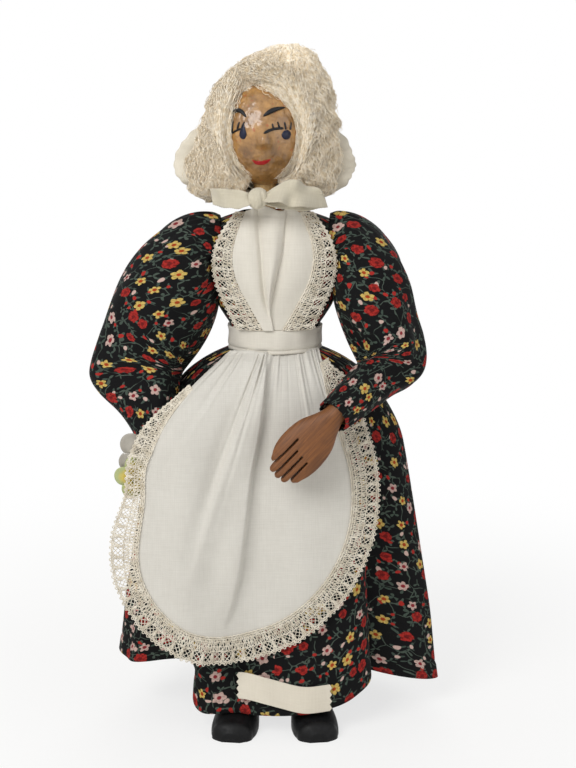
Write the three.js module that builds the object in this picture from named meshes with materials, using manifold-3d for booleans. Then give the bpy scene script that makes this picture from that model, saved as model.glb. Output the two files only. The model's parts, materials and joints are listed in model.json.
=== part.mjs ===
// Standing cloth doll with a nut for a head, in a calico dress and a lace-edged apron.
// Millimetres. +Z is up, the doll faces -Y, its left side is +X and it stands on Z = 0.

import * as THREE from 'three';
import { mergeVertices } from 'three/addons/utils/BufferGeometryUtils.js';
import Module from 'manifold-3d';

const wasm = await Module();
wasm.setup();

// Fits between pieces.
const FIT = 0.3;
const SWING = 0.6;

// Waist, where the bodice, the skirt and the apron meet.
const WAIST_HEIGHT = 180;
const WAIST_HALF_WIDTH = 19.5;
const WAIST_HALF_DEPTH = 17;

// Skirt.
const HEM_HEIGHT = 10.5;
const HEM_LIFT = 7;
const HEM_HALF_WIDTH = 78;
const HEM_FRONT = 40;
const HEM_BACK = 46;
const GATHER_SHARE = 0.5;
const GATHER_DROP = 10.5;
const SKIRT_CLOTH = 1.4;
// Where the hem rises or, below zero, dips: angle from the front toward the doll's left, height, half-width.
const HEM_ARCHES = [
  { angle: -86, height: 15, spread: 28 },
  { angle: -50, height: 15, spread: 16 },
  { angle: -28, height: -3, spread: 7 },
  { angle: 48, height: 14, spread: 21 },
];
// Main valleys between the folds: angle from the front toward the doll's left, depth at the hem, half-width.
const SKIRT_VALLEYS = [
  { angle: -48, depth: 17, spread: 13 },
  { angle: -13, depth: 2.5, spread: 5 },
  { angle: 57, depth: 22, spread: 14 },
  { angle: 112, depth: 9, spread: 14 },
  { angle: 158, depth: 11, spread: 14 },
  { angle: 204, depth: 10, spread: 14 },
  { angle: 252, depth: 9, spread: 14 },
];

// Bodice, by shares of the shoulders' rise above the waist and of the waist's width and depth.
const BODICE_CLOTH = 1.4;
const SHOULDER_RISE = 54;
const BODICE_PROFILE = [
  { rise: 0, halfWidth: 1, halfDepth: 1 },
  { rise: 0.2037, halfWidth: 1.0154, halfDepth: 1.0235 },
  { rise: 0.2963, halfWidth: 1.1795, halfDepth: 1.0353 },
  { rise: 0.3889, halfWidth: 1.3333, halfDepth: 1.0588 },
  { rise: 0.5185, halfWidth: 1.4359, halfDepth: 1.0706 },
  { rise: 0.7593, halfWidth: 1.5128, halfDepth: 1.0588 },
  { rise: 0.963, halfWidth: 1.5641, halfDepth: 0.9412 },
  { rise: 1.0926, halfWidth: 1.3846, halfDepth: 0.7647 },
  { rise: 1.175926, halfWidth: 0.7692, halfDepth: 0.6176 },
].map(({ rise, halfWidth, halfDepth }) => ({
  rise: rise * SHOULDER_RISE,
  halfWidth: halfWidth * WAIST_HALF_WIDTH,
  halfDepth: halfDepth * WAIST_HALF_DEPTH,
}));
const HIP_DROP = 16;
const HIP_HALF_WIDTH = 23;
const HIP_HALF_DEPTH = 14;

// Legs and shoes.
const LEG_OFFSET = 15.5;
const LEG_SETBACK = 4;
const LEG_RADIUS = 4;
const LEG_SOCKET_DEPTH = 9;
const SHOE_LENGTH = 58;
const SHOE_HALF_WIDTH = 10;
const SHOE_HEIGHT = 18;
const SHOE_HEEL_TO_LEG = 15;
const SHOE_TURN_OUT = 7;
const SHOE_SOCKET_FLOOR = 6;

// Neck and head.
const NECK_OFFSET = -4.5;
const NECK_PEG_RADIUS = 5;
const NECK_SOCKET_DEPTH = 22;
const NECK_SHOW = 12;
const HEAD_BORE_DEPTH = 15;
const HEAD_HALF_WIDTH = 19.5;
const HEAD_HALF_DEPTH = 19.5;
const HEAD_HEIGHT = 47;
const NOSE_HEIGHT = 5.5;
const NOSE_HALF_WIDTH = 3.4;
const NOSE_BELOW_MIDDLE = 2.2;
const NOSE_BRIDGE = 6;
const NOSE_TIP = 2.6;
const NUT_RIDGE = 0.8;

// Wig, by shares of the head: height above the chin, middle to the side, half-width, front and back.
const WIG_PROFILE = [
  { rise: -0.1383, side: -0.1026, halfWidth: 1.2308, front: 0.4615, back: 1.0256 },
  { rise: -0.0851, side: -0.0769, halfWidth: 1.5385, front: 0.6667, back: 1.2821 },
  { rise: 0.0213, side: -0.0513, halfWidth: 1.6923, front: 0.7949, back: 1.3846 },
  { rise: 0.1915, side: -0.0256, halfWidth: 1.7436, front: 0.8718, back: 1.4359 },
  { rise: 0.383, side: 0.0256, halfWidth: 1.6923, front: 0.9487, back: 1.4615 },
  { rise: 0.5957, side: 0.1282, halfWidth: 1.5641, front: 1.0256, back: 1.4359 },
  { rise: 0.8085, side: 0.1641, halfWidth: 1.4359, front: 1.0769, back: 1.3846 },
  { rise: 1, side: 0.2308, halfWidth: 1.2564, front: 0.9744, back: 1.2308 },
  { rise: 1.1702, side: 0.3333, halfWidth: 0.9744, front: 0.7692, back: 0.9744 },
  { rise: 1.2872, side: 0.4872, halfWidth: 0.6667, front: 0.5128, back: 0.6667 },
  { rise: 1.3723, side: 0.5641, halfWidth: 0.2821, front: 0.2308, back: 0.3077 },
].map(({ rise, side, halfWidth, front, back }) => ({
  rise: rise * HEAD_HEIGHT,
  side: side * HEAD_HALF_WIDTH,
  halfWidth: halfWidth * HEAD_HALF_WIDTH,
  front: front * HEAD_HALF_DEPTH,
  back: back * HEAD_HALF_DEPTH,
}));
const FACE_HALF_WIDTH = 17;
const FACE_HALF_HEIGHT = 22.5;
const FACE_DEPTH = 7;
const THROAT_HALF_WIDTH = 17;
const THROAT_HALF_HEIGHT = 12;

// Bonnet behind the wig.
const BONNET_HALF_WIDTH = 42;
const BONNET_UP = 22;
const BONNET_DOWN = 16.5;
const BONNET_RISE = 9;
const BONNET_FRONT = 4;
const BONNET_PUFF = 33;
const BONNET_PLEATS = 18;
const BONNET_PLEAT_DEPTH = 1;

// Ribbon tied under the chin.
const RIBBON_WIDTH = 7.5;
const RIBBON_CLOTH = 0.8;
const RIBBON_END_FORWARD = 12.5;
const LEFT_RIBBON = { reach: 29, fanRatio: 1.25, peak: 1 };
const RIGHT_RIBBON = { reach: 20, fanRatio: 1, peak: -0.8 };
const KNOT_HALF_WIDTH = 4.2;
const KNOT_HALF_DEPTH = 3.2;
const KNOT_HALF_HEIGHT = 5.2;
const KNOT_TILT = 25;
const KNOT_SIDE = -2.7;
const KNOT_FORWARD = 24;
const KNOT_DROP = 3.4;

// Arms.
const SHOULDER_OFFSET = 34;
const SHOULDER_BALL = 10;
const SHOULDER_WIRE_RADIUS = 1.5;
const WIRE_END_RADIUS = 2.6;
const ARM_ROLL_RADIUS = 3.4;
const ARM_PLANE_GAP = 2;
// Each arm: elbow from the shoulder, wrist's side and drop below the waist, way and width of the hand,
// sleeve radii at elbow and wrist, and the upper sleeve's radius from armhole to elbow.
const LEFT_ARM = {
  elbow: [24, -14, -56],
  wristSide: 26,
  wristDrop: 23,
  handWay: [-0.68, -0.1, -0.73],
  handAcross: [0.7, -0.12, -0.69],
  elbowRadius: 11.5,
  wristRadius: 7.8,
  taperRatio: 1,
  puff: [8.5, 14.5, 18, 19.3, 20, 19.5, 17.5, 12.5],
  shoulderAxis: [-1, 0, 0],
  shoulderAngle: 80,
  elbowAngle: 35,
};
const RIGHT_ARM = {
  elbow: [-27, -5, -53],
  wristSide: -54,
  wristDrop: 39,
  handWay: [0.1, -0.06, -1],
  handAcross: [-1, 0.12, -0.1],
  elbowRadius: 16,
  wristRadius: 8,
  taperRatio: 2.2,
  puff: [8.5, 15.5, 20.5, 23, 24, 24, 21.5, 16],
  shoulderAxis: [0, 1, 0],
  shoulderAngle: 30,
  elbowAngle: 25,
};
const LEFT_HAND_LIFT = 4.8;
const RIGHT_HAND_LIFT = 1.2;

// Carved hand.
const HAND_LENGTH = 37;
const HAND_THICKNESS = 9;
const HAND_PALM_HALF_WIDTH = 11;
const HAND_PEG_LENGTH = 6;
const HAND_PEG_RADIUS = 5.2;
const KERF = 0.9;

// Apron.
const BAND_HEIGHT = 11;
const BAND_CLOTH = 1.4;
const BAND_EASE = 0.4;
const APRON_CLOTH = 0.8;
const APRON_LIFT = 2.2;
const APRON_LEFT_SPREAD = 6;
const APRON_RIGHT_SPREAD = 85;
const APRON_HAND_ROOM = 12;
const APRON_CENTRE_SIDE = -14;
const APRON_CENTRE_DROP = 74;
const APRON_LEAN = 0.12;
const APRON_HALF_WIDTH = 50.5;
const APRON_ABOVE = 62;
const APRON_BELOW = 55;
const APRON_TOP_ANGLE = 122;
const APRON_TOP_HALF_WIDTH = 20.5;
const APRON_FOLDS = 5;
const APRON_FOLD_DEPTH = 1.8;
const LACE_WIDTH = 12;
const LACE_CLOTH = 0.8;
const LACE_SCALLOPS = 36;
const LACE_SCALLOP_DEPTH = 0.9;

// Bib.
const BIB_CLOTH = 1;
const BIB_PUFF = 1.6;
const BIB_SPREAD = 8;
const BIB_TOP_RISE = 63;
const BIB_EDGE = [5, 11, 16.5, 19, 16.5, 11];
const BIB_LACE_EDGE = [18, 23, 27.5, 29.2, 26.5, 19];

// Bow at the back.
const BOW_KNOT_RADIUS = 4.5;
const BOW_LOOP_LENGTH = 14;
const BOW_LOOP_HALF_WIDTH = 6;
const BOW_RIBBON_WIDTH = 10;
const BOW_CLOTH = 0.9;
const BOW_TAIL_LENGTH = 62;
const BOW_TAIL_SPREAD = 10;
const BOW_TAIL_GAP = 0.5;
const BOW_TAIL_LIFT = 1;

// Hem tag.
const TAG_LENGTH = 45;
const TAG_HEIGHT = 13;
const TAG_SIDE = 4.5;
const TAG_RISE = 11;
const TAG_TILT = 0.17;
const TAG_CLOTH = 0.6;
const TAG_TOOTH = 1.1;
const TAG_WAVE = 0.5;

// Flowers in the right hand.
const STEM_RADIUS = 0.8;
const WHITE_RADIUS = 10;
const YELLOW_RADIUS = 8.5;
const PETAL_CLOTH = 1.2;
const STEM_END = 0.4;
const STEM_BEND_FORWARD = 0.3;
const STEM_BEND_DROP = 1.5;
// Each flower's place from the right wrist: to the side, forward of the palm and down.
const WHITE_SIDE = -4.5;
const WHITE_FORWARD = 2;
const WHITE_DROP = 6;
const YELLOW_SIDE = -10;
const YELLOW_FORWARD = 3.9;
const YELLOW_DROP = 16;

const vec = (x, y, z) => new THREE.Vector3(x, y, z);
const mix = THREE.MathUtils.lerp;
const ramp = THREE.MathUtils.smoothstep;
const radians = THREE.MathUtils.degToRad;

// Solid building

/** A geometry from points and triangles, turned so that its faces look outward. */
function closedGeometry(points, index) {
  let volume = 0;
  const normal = new THREE.Vector3();
  for (let i = 0; i < index.length; i += 3) {
    normal.crossVectors(points[index[i + 1]], points[index[i + 2]]);
    volume += points[index[i]].dot(normal);
  }
  const faces = volume < 0 ? [...index].reverse() : index;
  const geometry = new THREE.BufferGeometry().setFromPoints(points);
  geometry.setIndex(faces);
  return geometry;
}

/** Triangles between two neighbouring rows of a grid whose rows are count points long. */
function stitch(index, first, second, count, around) {
  const last = around ? count : count - 1;
  for (let i = 0; i < last; i += 1) {
    const next = (i + 1) % count;
    index.push(first + i, first + next, second + i);
    index.push(first + next, second + next, second + i);
  }
}

/** A solid through rings of equal count, with a fan over each end. */
function loft(rings) {
  const count = rings[0].length;
  const points = rings.flat();
  const index = [];
  for (let row = 0; row < rings.length - 1; row += 1) {
    stitch(index, row * count, (row + 1) * count, count, true);
  }
  const ends = [[rings[0], 0, true], [rings[rings.length - 1], (rings.length - 1) * count, false]];
  for (const [ring, start, flip] of ends) {
    const middle = ring.reduce((sum, p) => sum.add(p), vec(0, 0, 0)).divideScalar(count);
    points.push(middle);
    const hub = points.length - 1;
    for (let i = 0; i < count; i += 1) {
      const a = start + i;
      const b = start + (i + 1) % count;
      index.push(...(flip ? [hub, b, a] : [hub, a, b]));
    }
  }
  return closedGeometry(points, index);
}

/** Unit normal of surface(u, v), from small steps in u and v. */
function surfaceNormal(surface, u, v) {
  const step = 1e-3;
  const alongU = surface(Math.min(1, u + step), v).sub(surface(Math.max(0, u - step), v));
  const alongV = surface(u, Math.min(1, v + step)).sub(surface(u, Math.max(0, v - step)));
  return alongU.cross(alongV).normalize();
}

/** A cloth of one thickness on surface(u, v), u and v from 0 to 1, laid on the side that thickness points to. */
function cloth(surface, columns, rows, thickness, { around = false, rowAt = (s) => s } = {}) {
  const count = around ? columns : columns + 1;
  const points = [];
  const layer = (offset) => {
    for (let row = 0; row <= rows; row += 1) {
      const v = rowAt(row / rows);
      for (let i = 0; i < count; i += 1) {
        const u = i / columns;
        const point = surface(u, v);
        if (offset !== 0) {
          point.addScaledVector(surfaceNormal(surface, u, v), offset);
        }
        points.push(point);
      }
    }
  };
  layer(0);
  layer(thickness);
  const back = (rows + 1) * count;
  const index = [];
  for (let row = 0; row < rows; row += 1) {
    stitch(index, row * count, (row + 1) * count, count, around);
    stitch(index, back + (row + 1) * count, back + row * count, count, around);
  }
  stitch(index, back, 0, count, around);
  stitch(index, rows * count, back + rows * count, count, around);
  if (!around) {
    for (let row = 0; row < rows; row += 1) {
      const a = row * count;
      const b = a + count;
      index.push(a, b, back + a, b, back + b, back + a);
      const c = a + columns;
      const d = b + columns;
      index.push(d, c, back + c, d, back + c, back + d);
    }
  }
  return closedGeometry(points, index);
}

/** A round bar along a smooth curve through points. */
function bar(points, radius, sides, steps) {
  const outline = new THREE.Shape();
  outline.absarc(0, 0, radius, 0, Math.PI * 2, false);
  return new THREE.ExtrudeGeometry(outline, {
    extrudePath: new THREE.CatmullRomCurve3(points),
    steps,
    curveSegments: sides,
  });
}

/** A straight round bar between two points, optionally tapered. */
function rod(from, to, radiusFrom, radiusTo, sides = 16) {
  const way = to.clone().sub(from);
  const geometry = new THREE.CylinderGeometry(radiusTo, radiusFrom, way.length(), sides);
  const turn = new THREE.Quaternion().setFromUnitVectors(vec(0, 1, 0), way.clone().normalize());
  geometry.applyQuaternion(turn);
  return geometry.translate(...from.clone().addScaledVector(way, 0.5).toArray());
}

/** A ball about a point. */
function ball(middle, radius, sides = 20) {
  const geometry = new THREE.SphereGeometry(radius, sides, Math.round(sides * 0.6));
  return geometry.translate(...middle.toArray());
}

/** The geometry as a solid that can be joined and cut. */
function toSolid(geometry) {
  const bare = geometry.clone();
  bare.deleteAttribute('normal');
  bare.deleteAttribute('uv');
  const merged = mergeVertices(bare, 1e-4);
  return new wasm.Manifold(new wasm.Mesh({
    numProp: 3,
    vertProperties: new Float32Array(merged.attributes.position.array),
    triVerts: new Uint32Array(merged.index.array),
  }));
}

/** The largest single body of a solid, as a geometry. */
function toGeometry(solid) {
  const bodies = solid.decompose();
  const largest = bodies.reduce((a, b) => (a.volume() > b.volume() ? a : b));
  const mesh = largest.getMesh();
  const geometry = new THREE.BufferGeometry();
  geometry.setAttribute('position', new THREE.BufferAttribute(new Float32Array(mesh.vertProperties), 3));
  geometry.setIndex(new THREE.BufferAttribute(new Uint32Array(mesh.triVerts), 1));
  return geometry;
}

/** The first geometry with every tool taken out of it. */
function cut(geometry, ...tools) {
  const rest = tools.reduce((solid, tool) => solid.subtract(toSolid(tool)), toSolid(geometry));
  return toGeometry(rest);
}

/** All the geometries as one body. */
function join(...geometries) {
  return toGeometry(geometries.map(toSolid).reduce((a, b) => a.add(b)));
}

/** Copies of a tool turned about an axis through a pivot, from one angle to another. */
function swept(tool, pivot, axis, fromAngle, toAngle, steps) {
  return Array.from({ length: steps + 1 }, (_, i) => {
    const angle = radians(mix(fromAngle, toAngle, i / steps));
    const copy = tool.clone();
    copy.translate(-pivot.x, -pivot.y, -pivot.z);
    copy.applyQuaternion(new THREE.Quaternion().setFromAxisAngle(axis, angle));
    return copy.translate(pivot.x, pivot.y, pivot.z);
  });
}

/** A smooth value through evenly spaced values, s from 0 to 1. */
function through(values, s) {
  const curve = new THREE.SplineCurve(values.map((value, i) => new THREE.Vector2(i, value)));
  return curve.getPoint(THREE.MathUtils.clamp(s, 0, 1)).y;
}

// Forms that several pieces share

/** How far the skirt has opened at a height, from 0 at the waist to 1 at the lowest hem. */
function skirtFlare(z) {
  const drop = Math.max(0, WAIST_HEIGHT - z);
  const gathers = 1 - Math.exp(-drop / GATHER_DROP);
  return GATHER_SHARE * gathers + (1 - GATHER_SHARE) * drop / (WAIST_HEIGHT - HEM_HEIGHT);
}

const skirtHalfWidth = (z) => mix(WAIST_HALF_WIDTH, HEM_HALF_WIDTH, skirtFlare(z));
const skirtFront = (z) => mix(WAIST_HALF_DEPTH, HEM_FRONT, skirtFlare(z));
const skirtBack = (z) => mix(WAIST_HALF_DEPTH, HEM_BACK, skirtFlare(z));

/** How near an angle is to a fold's own angle: 1 there, falling to 0 away from it. */
function nearness(angle, fold) {
  const turn = angle - radians(fold.angle);
  const share = Math.atan2(Math.sin(turn), Math.cos(turn)) / radians(fold.spread);
  return Math.exp(-share * share);
}

/** Height of the hem at an angle from the front. */
function hemHeight(angle) {
  const level = HEM_HEIGHT + HEM_LIFT * (0.5 - 0.5 * Math.cos(angle));
  return HEM_ARCHES.reduce((height, arch) => height + arch.height * nearness(angle, arch), level);
}

/** Depth of the fold valleys at the hem, at an angle from the front. */
function valleyDepth(angle) {
  return SKIRT_VALLEYS.reduce((sum, valley) => sum + valley.depth * nearness(angle, valley), 0);
}

/** Point of the skirt without its valleys, grown by a margin. */
function skirtEnvelope(angle, z, margin = 0) {
  const depth = Math.cos(angle) > 0 ? skirtFront(z) : skirtBack(z);
  const x = (skirtHalfWidth(z) + margin) * Math.sin(angle);
  return vec(x, -(depth + margin) * Math.cos(angle), z);
}

/** Point of the skirt's outer face; u runs round from the front, v from waist to hem. */
function skirtSurface(u, v) {
  const angle = u * Math.PI * 2;
  const top = WAIST_HEIGHT - FIT;
  const z = mix(top, hemHeight(angle), v);
  const point = skirtEnvelope(angle, z);
  const radius = Math.hypot(point.x, point.y);
  const kept = 1 - valleyDepth(angle) * Math.pow(v, 0.9) / radius;
  return vec(point.x * kept, point.y * kept, z);
}

/** Half-width and half-depth of the bodice at a height above the waist. */
function bodiceSection(rise) {
  const profile = BODICE_PROFILE;
  const above = Math.max(1, profile.findIndex((row) => row.rise >= rise));
  const low = profile[above - 1];
  const high = profile[above];
  const share = (rise - low.rise) / (high.rise - low.rise);
  return {
    halfWidth: mix(low.halfWidth, high.halfWidth, share),
    halfDepth: mix(low.halfDepth, high.halfDepth, share),
  };
}

/** Rings of the bodice profile, each moved inward square to the profile. */
function bodiceRings(inset, sides) {
  return BODICE_PROFILE.map((row, i) => {
    const low = BODICE_PROFILE[Math.max(0, i - 1)];
    const high = BODICE_PROFILE[Math.min(BODICE_PROFILE.length - 1, i + 1)];
    const slope = Math.atan2(high.halfWidth - low.halfWidth, high.rise - low.rise);
    const level = i === 0 || i === BODICE_PROFILE.length - 1;
    const out = level ? inset : inset * Math.cos(slope);
    const down = level ? 0 : -inset * Math.sin(slope);
    return ellipse(row.halfWidth - out, row.halfDepth - out, WAIST_HEIGHT + row.rise - down, sides);
  });
}

/** Points of a level ellipse about the body's middle line. */
function ellipse(halfWidth, halfDepth, z, sides, middle = vec(0, 0, 0)) {
  return Array.from({ length: sides }, (_, i) => {
    const angle = i / sides * Math.PI * 2;
    return vec(middle.x + halfWidth * Math.sin(angle), middle.y - halfDepth * Math.cos(angle), z);
  });
}

/** Depth of the apron at a place seen from the front. The doll's right hand holds that side away. */
function apronDepth(x, z) {
  const spread = x > 0 ? APRON_LEFT_SPREAD : APRON_RIGHT_SPREAD;
  const room = APRON_HAND_ROOM * ramp(-x, 5, 45) * ramp(WAIST_HEIGHT - z, 4, 40);
  const across = x / (skirtHalfWidth(z) + spread);
  const front = skirtFront(z) + APRON_LIFT + room;
  return -front * Math.sqrt(Math.max(0.05, 1 - across * across));
}

/** Outline of the apron cloth, seen from the front; angle 0 is the lowest point. */
function apronOutline(angle) {
  const up = -Math.cos(angle);
  const z = WAIST_HEIGHT - APRON_CENTRE_DROP + up * (up > 0 ? APRON_ABOVE : APRON_BELOW);
  const middle = APRON_CENTRE_SIDE + APRON_LEAN * (z - WAIST_HEIGHT + APRON_CENTRE_DROP);
  return new THREE.Vector2(middle + APRON_HALF_WIDTH * Math.sin(angle), z);
}

/** Point of the apron's back face; u runs from the doll's right to its left, v from the band down. */
function apronSurface(u, v) {
  const side = u * 2 - 1;
  const foot = apronOutline(radians(APRON_TOP_ANGLE) * side);
  const x = mix(APRON_TOP_HALF_WIDTH * side, foot.x, v);
  const z = mix(WAIST_HEIGHT - 2 * FIT, foot.y, v);
  const wave = 0.5 - 0.5 * Math.cos(u * Math.PI * 2 * APRON_FOLDS);
  const strength = Math.sin(Math.PI * Math.pow(v, 0.6));
  return vec(x, apronDepth(x, z) - APRON_FOLD_DEPTH * wave * strength, z);
}

/** Edge of the apron cloth from one end of the band round the bottom to the other, s from 0 to 1. */
function apronEdge(s) {
  const shoulder = 0.14;
  const top = radians(APRON_TOP_ANGLE);
  if (s > shoulder && s < 1 - shoulder) {
    return apronOutline(mix(-top, top, (s - shoulder) / (1 - 2 * shoulder)));
  }
  const side = s < 0.5 ? -1 : 1;
  const share = s < 0.5 ? s / shoulder : (1 - s) / shoulder;
  const foot = apronOutline(top * side);
  return new THREE.Vector2(
    mix(APRON_TOP_HALF_WIDTH * side, foot.x, share),
    mix(WAIST_HEIGHT - 2 * FIT, foot.y, share),
  );
}

/** Point of the apron lace's back face; u runs along the cloth's edge, v from the edge outward. */
function apronLaceSurface(u, v) {
  const s = mix(0.045, 0.97, u);
  const edge = apronEdge(s);
  const way = apronEdge(s + 0.012).sub(apronEdge(s - 0.012)).normalize();
  const outward = new THREE.Vector2(way.y, -way.x);
  const taper = mix(0.3, 1, ramp(u, 0, 0.09) * ramp(1 - u, 0, 0.05));
  const scallop = LACE_SCALLOP_DEPTH * Math.abs(Math.sin(u * Math.PI * LACE_SCALLOPS));
  const reach = 2 * FIT + v * (LACE_WIDTH * taper - scallop);
  const x = edge.x + outward.x * reach;
  const z = edge.y + outward.y * reach;
  return vec(x, apronDepth(x, z), z);
}

/** Depth of the bib at a place seen from the front. */
function bibDepth(x, z) {
  const { halfWidth, halfDepth } = bodiceSection(z - WAIST_HEIGHT);
  const across = x / (halfWidth + BIB_SPREAD);
  return -(halfDepth + BIB_PUFF) * Math.sqrt(1 - across * across);
}

/** Height on the bib, s from 0 at the band to 1 at the neck. */
const bibHeight = (s) => WAIST_HEIGHT + mix(BAND_HEIGHT + FIT, BIB_TOP_RISE, s);

/** Point of the bib's back face. */
function bibSurface(u, v) {
  const z = bibHeight(v);
  const x = mix(-1, 1, u) * through(BIB_EDGE, v);
  return vec(x, bibDepth(x, z), z);
}

/** Point of the back face of the lace on one side of the bib. */
function bibLaceSurface(side) {
  return (u, v) => {
    const z = bibHeight(v);
    const x = side * mix(through(BIB_EDGE, v) + 2 * FIT, through(BIB_LACE_EDGE, v), u);
    return vec(x, bibDepth(x, z), z);
  };
}

// Core, legs and shoes

const neckTop = WAIST_HEIGHT + BODICE_PROFILE[BODICE_PROFILE.length - 1].rise;
const shoulderHeight = WAIST_HEIGHT + SHOULDER_RISE;
const chinHeight = neckTop + NECK_SHOW;
const headMiddle = vec(NECK_OFFSET, -0.5, chinHeight + HEAD_HEIGHT / 2);
const shoulders = { left: vec(SHOULDER_OFFSET, 0, shoulderHeight), right: vec(-SHOULDER_OFFSET, 0, shoulderHeight) };
const armholes = [shoulders.left, shoulders.right].map((place) => ball(place, SHOULDER_BALL + 2 * SWING, 14));
const legTop = WAIST_HEIGHT - HIP_DROP + LEG_SOCKET_DEPTH;
const pegFoot = neckTop - NECK_SOCKET_DEPTH;
const pegTop = chinHeight + HEAD_BORE_DEPTH;

function torsoBlock() {
  const inset = BODICE_CLOTH + FIT;
  const body = bodiceRings(inset, 16);
  const hips = [
    ellipse(HIP_HALF_WIDTH - 3, HIP_HALF_DEPTH - 2, WAIST_HEIGHT - HIP_DROP, 16),
    ellipse(HIP_HALF_WIDTH, HIP_HALF_DEPTH, WAIST_HEIGHT - HIP_DROP + 3, 16),
    ellipse(HIP_HALF_WIDTH - 0.5, HIP_HALF_DEPTH, WAIST_HEIGHT - HIP_DROP + 8, 16),
  ];
  const neckHole = rod(
    vec(NECK_OFFSET, 0, pegFoot - FIT),
    vec(NECK_OFFSET, 0, neckTop + 5),
    NECK_PEG_RADIUS + FIT,
    NECK_PEG_RADIUS + FIT,
  );
  const legHoles = [-1, 1].map((side) => rod(
    vec(side * LEG_OFFSET, -LEG_SETBACK, WAIST_HEIGHT - HIP_DROP - 5),
    vec(side * LEG_OFFSET, -LEG_SETBACK, legTop + FIT),
    LEG_RADIUS + FIT,
    LEG_RADIUS + FIT,
  ));
  const wireHole = rod(
    shoulders.right,
    shoulders.left,
    SHOULDER_WIRE_RADIUS + FIT,
    SHOULDER_WIRE_RADIUS + FIT,
    12,
  );
  return cut(loft([...hips, ...body]), neckHole, ...legHoles, wireHole, ...armholes);
}

function neckPeg() {
  const pinHole = rod(
    vec(-SHOULDER_OFFSET, 0, shoulderHeight),
    vec(SHOULDER_OFFSET, 0, shoulderHeight),
    SHOULDER_WIRE_RADIUS + FIT,
    SHOULDER_WIRE_RADIUS + FIT,
    12,
  );
  const peg = rod(vec(NECK_OFFSET, 0, pegFoot), vec(NECK_OFFSET, 0, pegTop), NECK_PEG_RADIUS, NECK_PEG_RADIUS);
  return cut(peg, pinHole);
}

function shoulderWire() {
  const wire = rod(shoulders.right, shoulders.left, SHOULDER_WIRE_RADIUS, SHOULDER_WIRE_RADIUS, 12);
  return join(wire, ball(shoulders.left, WIRE_END_RADIUS, 10), ball(shoulders.right, WIRE_END_RADIUS, 10));
}

function leg(side) {
  const foot = vec(side * LEG_OFFSET, -LEG_SETBACK, SHOE_SOCKET_FLOOR + FIT);
  return rod(foot, vec(foot.x, foot.y, legTop), LEG_RADIUS, LEG_RADIUS);
}

/** A smooth shoe with a flat sole, heel at the back, turned out a little. */
function shoe(side) {
  const stations = [
    { along: 0, width: 0.5, height: 0.62 },
    { along: 0.04, width: 0.74, height: 0.86 },
    { along: 0.14, width: 0.88, height: 1 },
    { along: 0.3, width: 0.86, height: 1 },
    { along: 0.44, width: 0.88, height: 0.86 },
    { along: 0.6, width: 0.98, height: 0.68 },
    { along: 0.76, width: 1, height: 0.54 },
    { along: 0.89, width: 0.86, height: 0.44 },
    { along: 0.97, width: 0.58, height: 0.34 },
    { along: 1, width: 0.3, height: 0.22 },
  ];
  const arc = 11;
  const rings = stations.map(({ along, width, height }) => {
    const y = SHOE_HEEL_TO_LEG - along * SHOE_LENGTH;
    const halfWidth = width * SHOE_HALF_WIDTH;
    const top = Array.from({ length: arc }, (_, i) => {
      const angle = i / (arc - 1) * Math.PI;
      const rounded = Math.pow(Math.sin(angle), 0.7);
      return vec(halfWidth * Math.cos(angle), y, height * SHOE_HEIGHT * rounded);
    });
    const sole = [-0.5, 0, 0.5].map((share) => vec(share * halfWidth, y, 0));
    return [...top, ...sole];
  });
  const socket = rod(vec(0, 0, SHOE_SOCKET_FLOOR), vec(0, 0, SHOE_HEIGHT * 2), LEG_RADIUS + FIT, LEG_RADIUS + FIT);
  const body = cut(loft(rings), socket);
  body.rotateZ(radians(side * SHOE_TURN_OUT));
  return body.translate(side * LEG_OFFSET, -LEG_SETBACK, 0);
}

// Dress

function dressBodice() {
  const outer = loft(bodiceRings(0, 24));
  const inner = loft([
    ellipse(WAIST_HALF_WIDTH - BODICE_CLOTH, WAIST_HALF_DEPTH - BODICE_CLOTH, WAIST_HEIGHT - 1, 24),
    ...bodiceRings(BODICE_CLOTH, 24),
    ellipse(
      BODICE_PROFILE[BODICE_PROFILE.length - 1].halfWidth - BODICE_CLOTH,
      BODICE_PROFILE[BODICE_PROFILE.length - 1].halfDepth - BODICE_CLOTH,
      neckTop + 1,
      24,
    ),
  ]);
  return cut(outer, inner, ...armholes);
}

function dressSkirt() {
  return cloth(skirtSurface, 48, 7, SKIRT_CLOTH, { around: true, rowAt: (s) => Math.pow(s, 2) });
}

/** The room that the skirt fills, grown by a margin, for cutting what hangs beside it. */
function skirtRoom(margin) {
  const shares = [0.555, 0.722, 0.805, 0.861, 0.906, 0.939, 0.967, 0.989, 1.005];
  const heights = shares.map((share) => share * WAIST_HEIGHT);
  return loft(heights.map((z) => (
    Array.from({ length: 32 }, (_, i) => skirtEnvelope(i / 32 * Math.PI * 2, z, margin))
  )));
}

// Apron

function apronBand() {
  const rises = [FIT, BAND_HEIGHT];
  const ring = (rise, grow) => {
    const { halfWidth, halfDepth } = bodiceSection(Math.max(rise, 0.01));
    return ellipse(halfWidth + grow, halfDepth + grow, WAIST_HEIGHT + rise, 24);
  };
  const outer = loft(rises.map((rise) => ring(rise, FIT + BAND_CLOTH)));
  const inner = loft([-1, BAND_HEIGHT + 1].map((rise) => ring(rise, FIT)));
  return cut(outer, inner);
}

function apronSkirt() {
  return cloth(apronSurface, 20, 8, -APRON_CLOTH, { rowAt: (s) => Math.pow(s, 1.6) });
}

function apronLace() {
  return cloth(apronLaceSurface, LACE_SCALLOPS * 2, 1, -LACE_CLOTH);
}

// Bow at the back of the band

const bowMiddle = vec(
  0,
  WAIST_HALF_DEPTH + BAND_EASE + 2 * FIT + BAND_CLOTH + BOW_KNOT_RADIUS,
  WAIST_HEIGHT + BAND_HEIGHT * 0.5,
);

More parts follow.
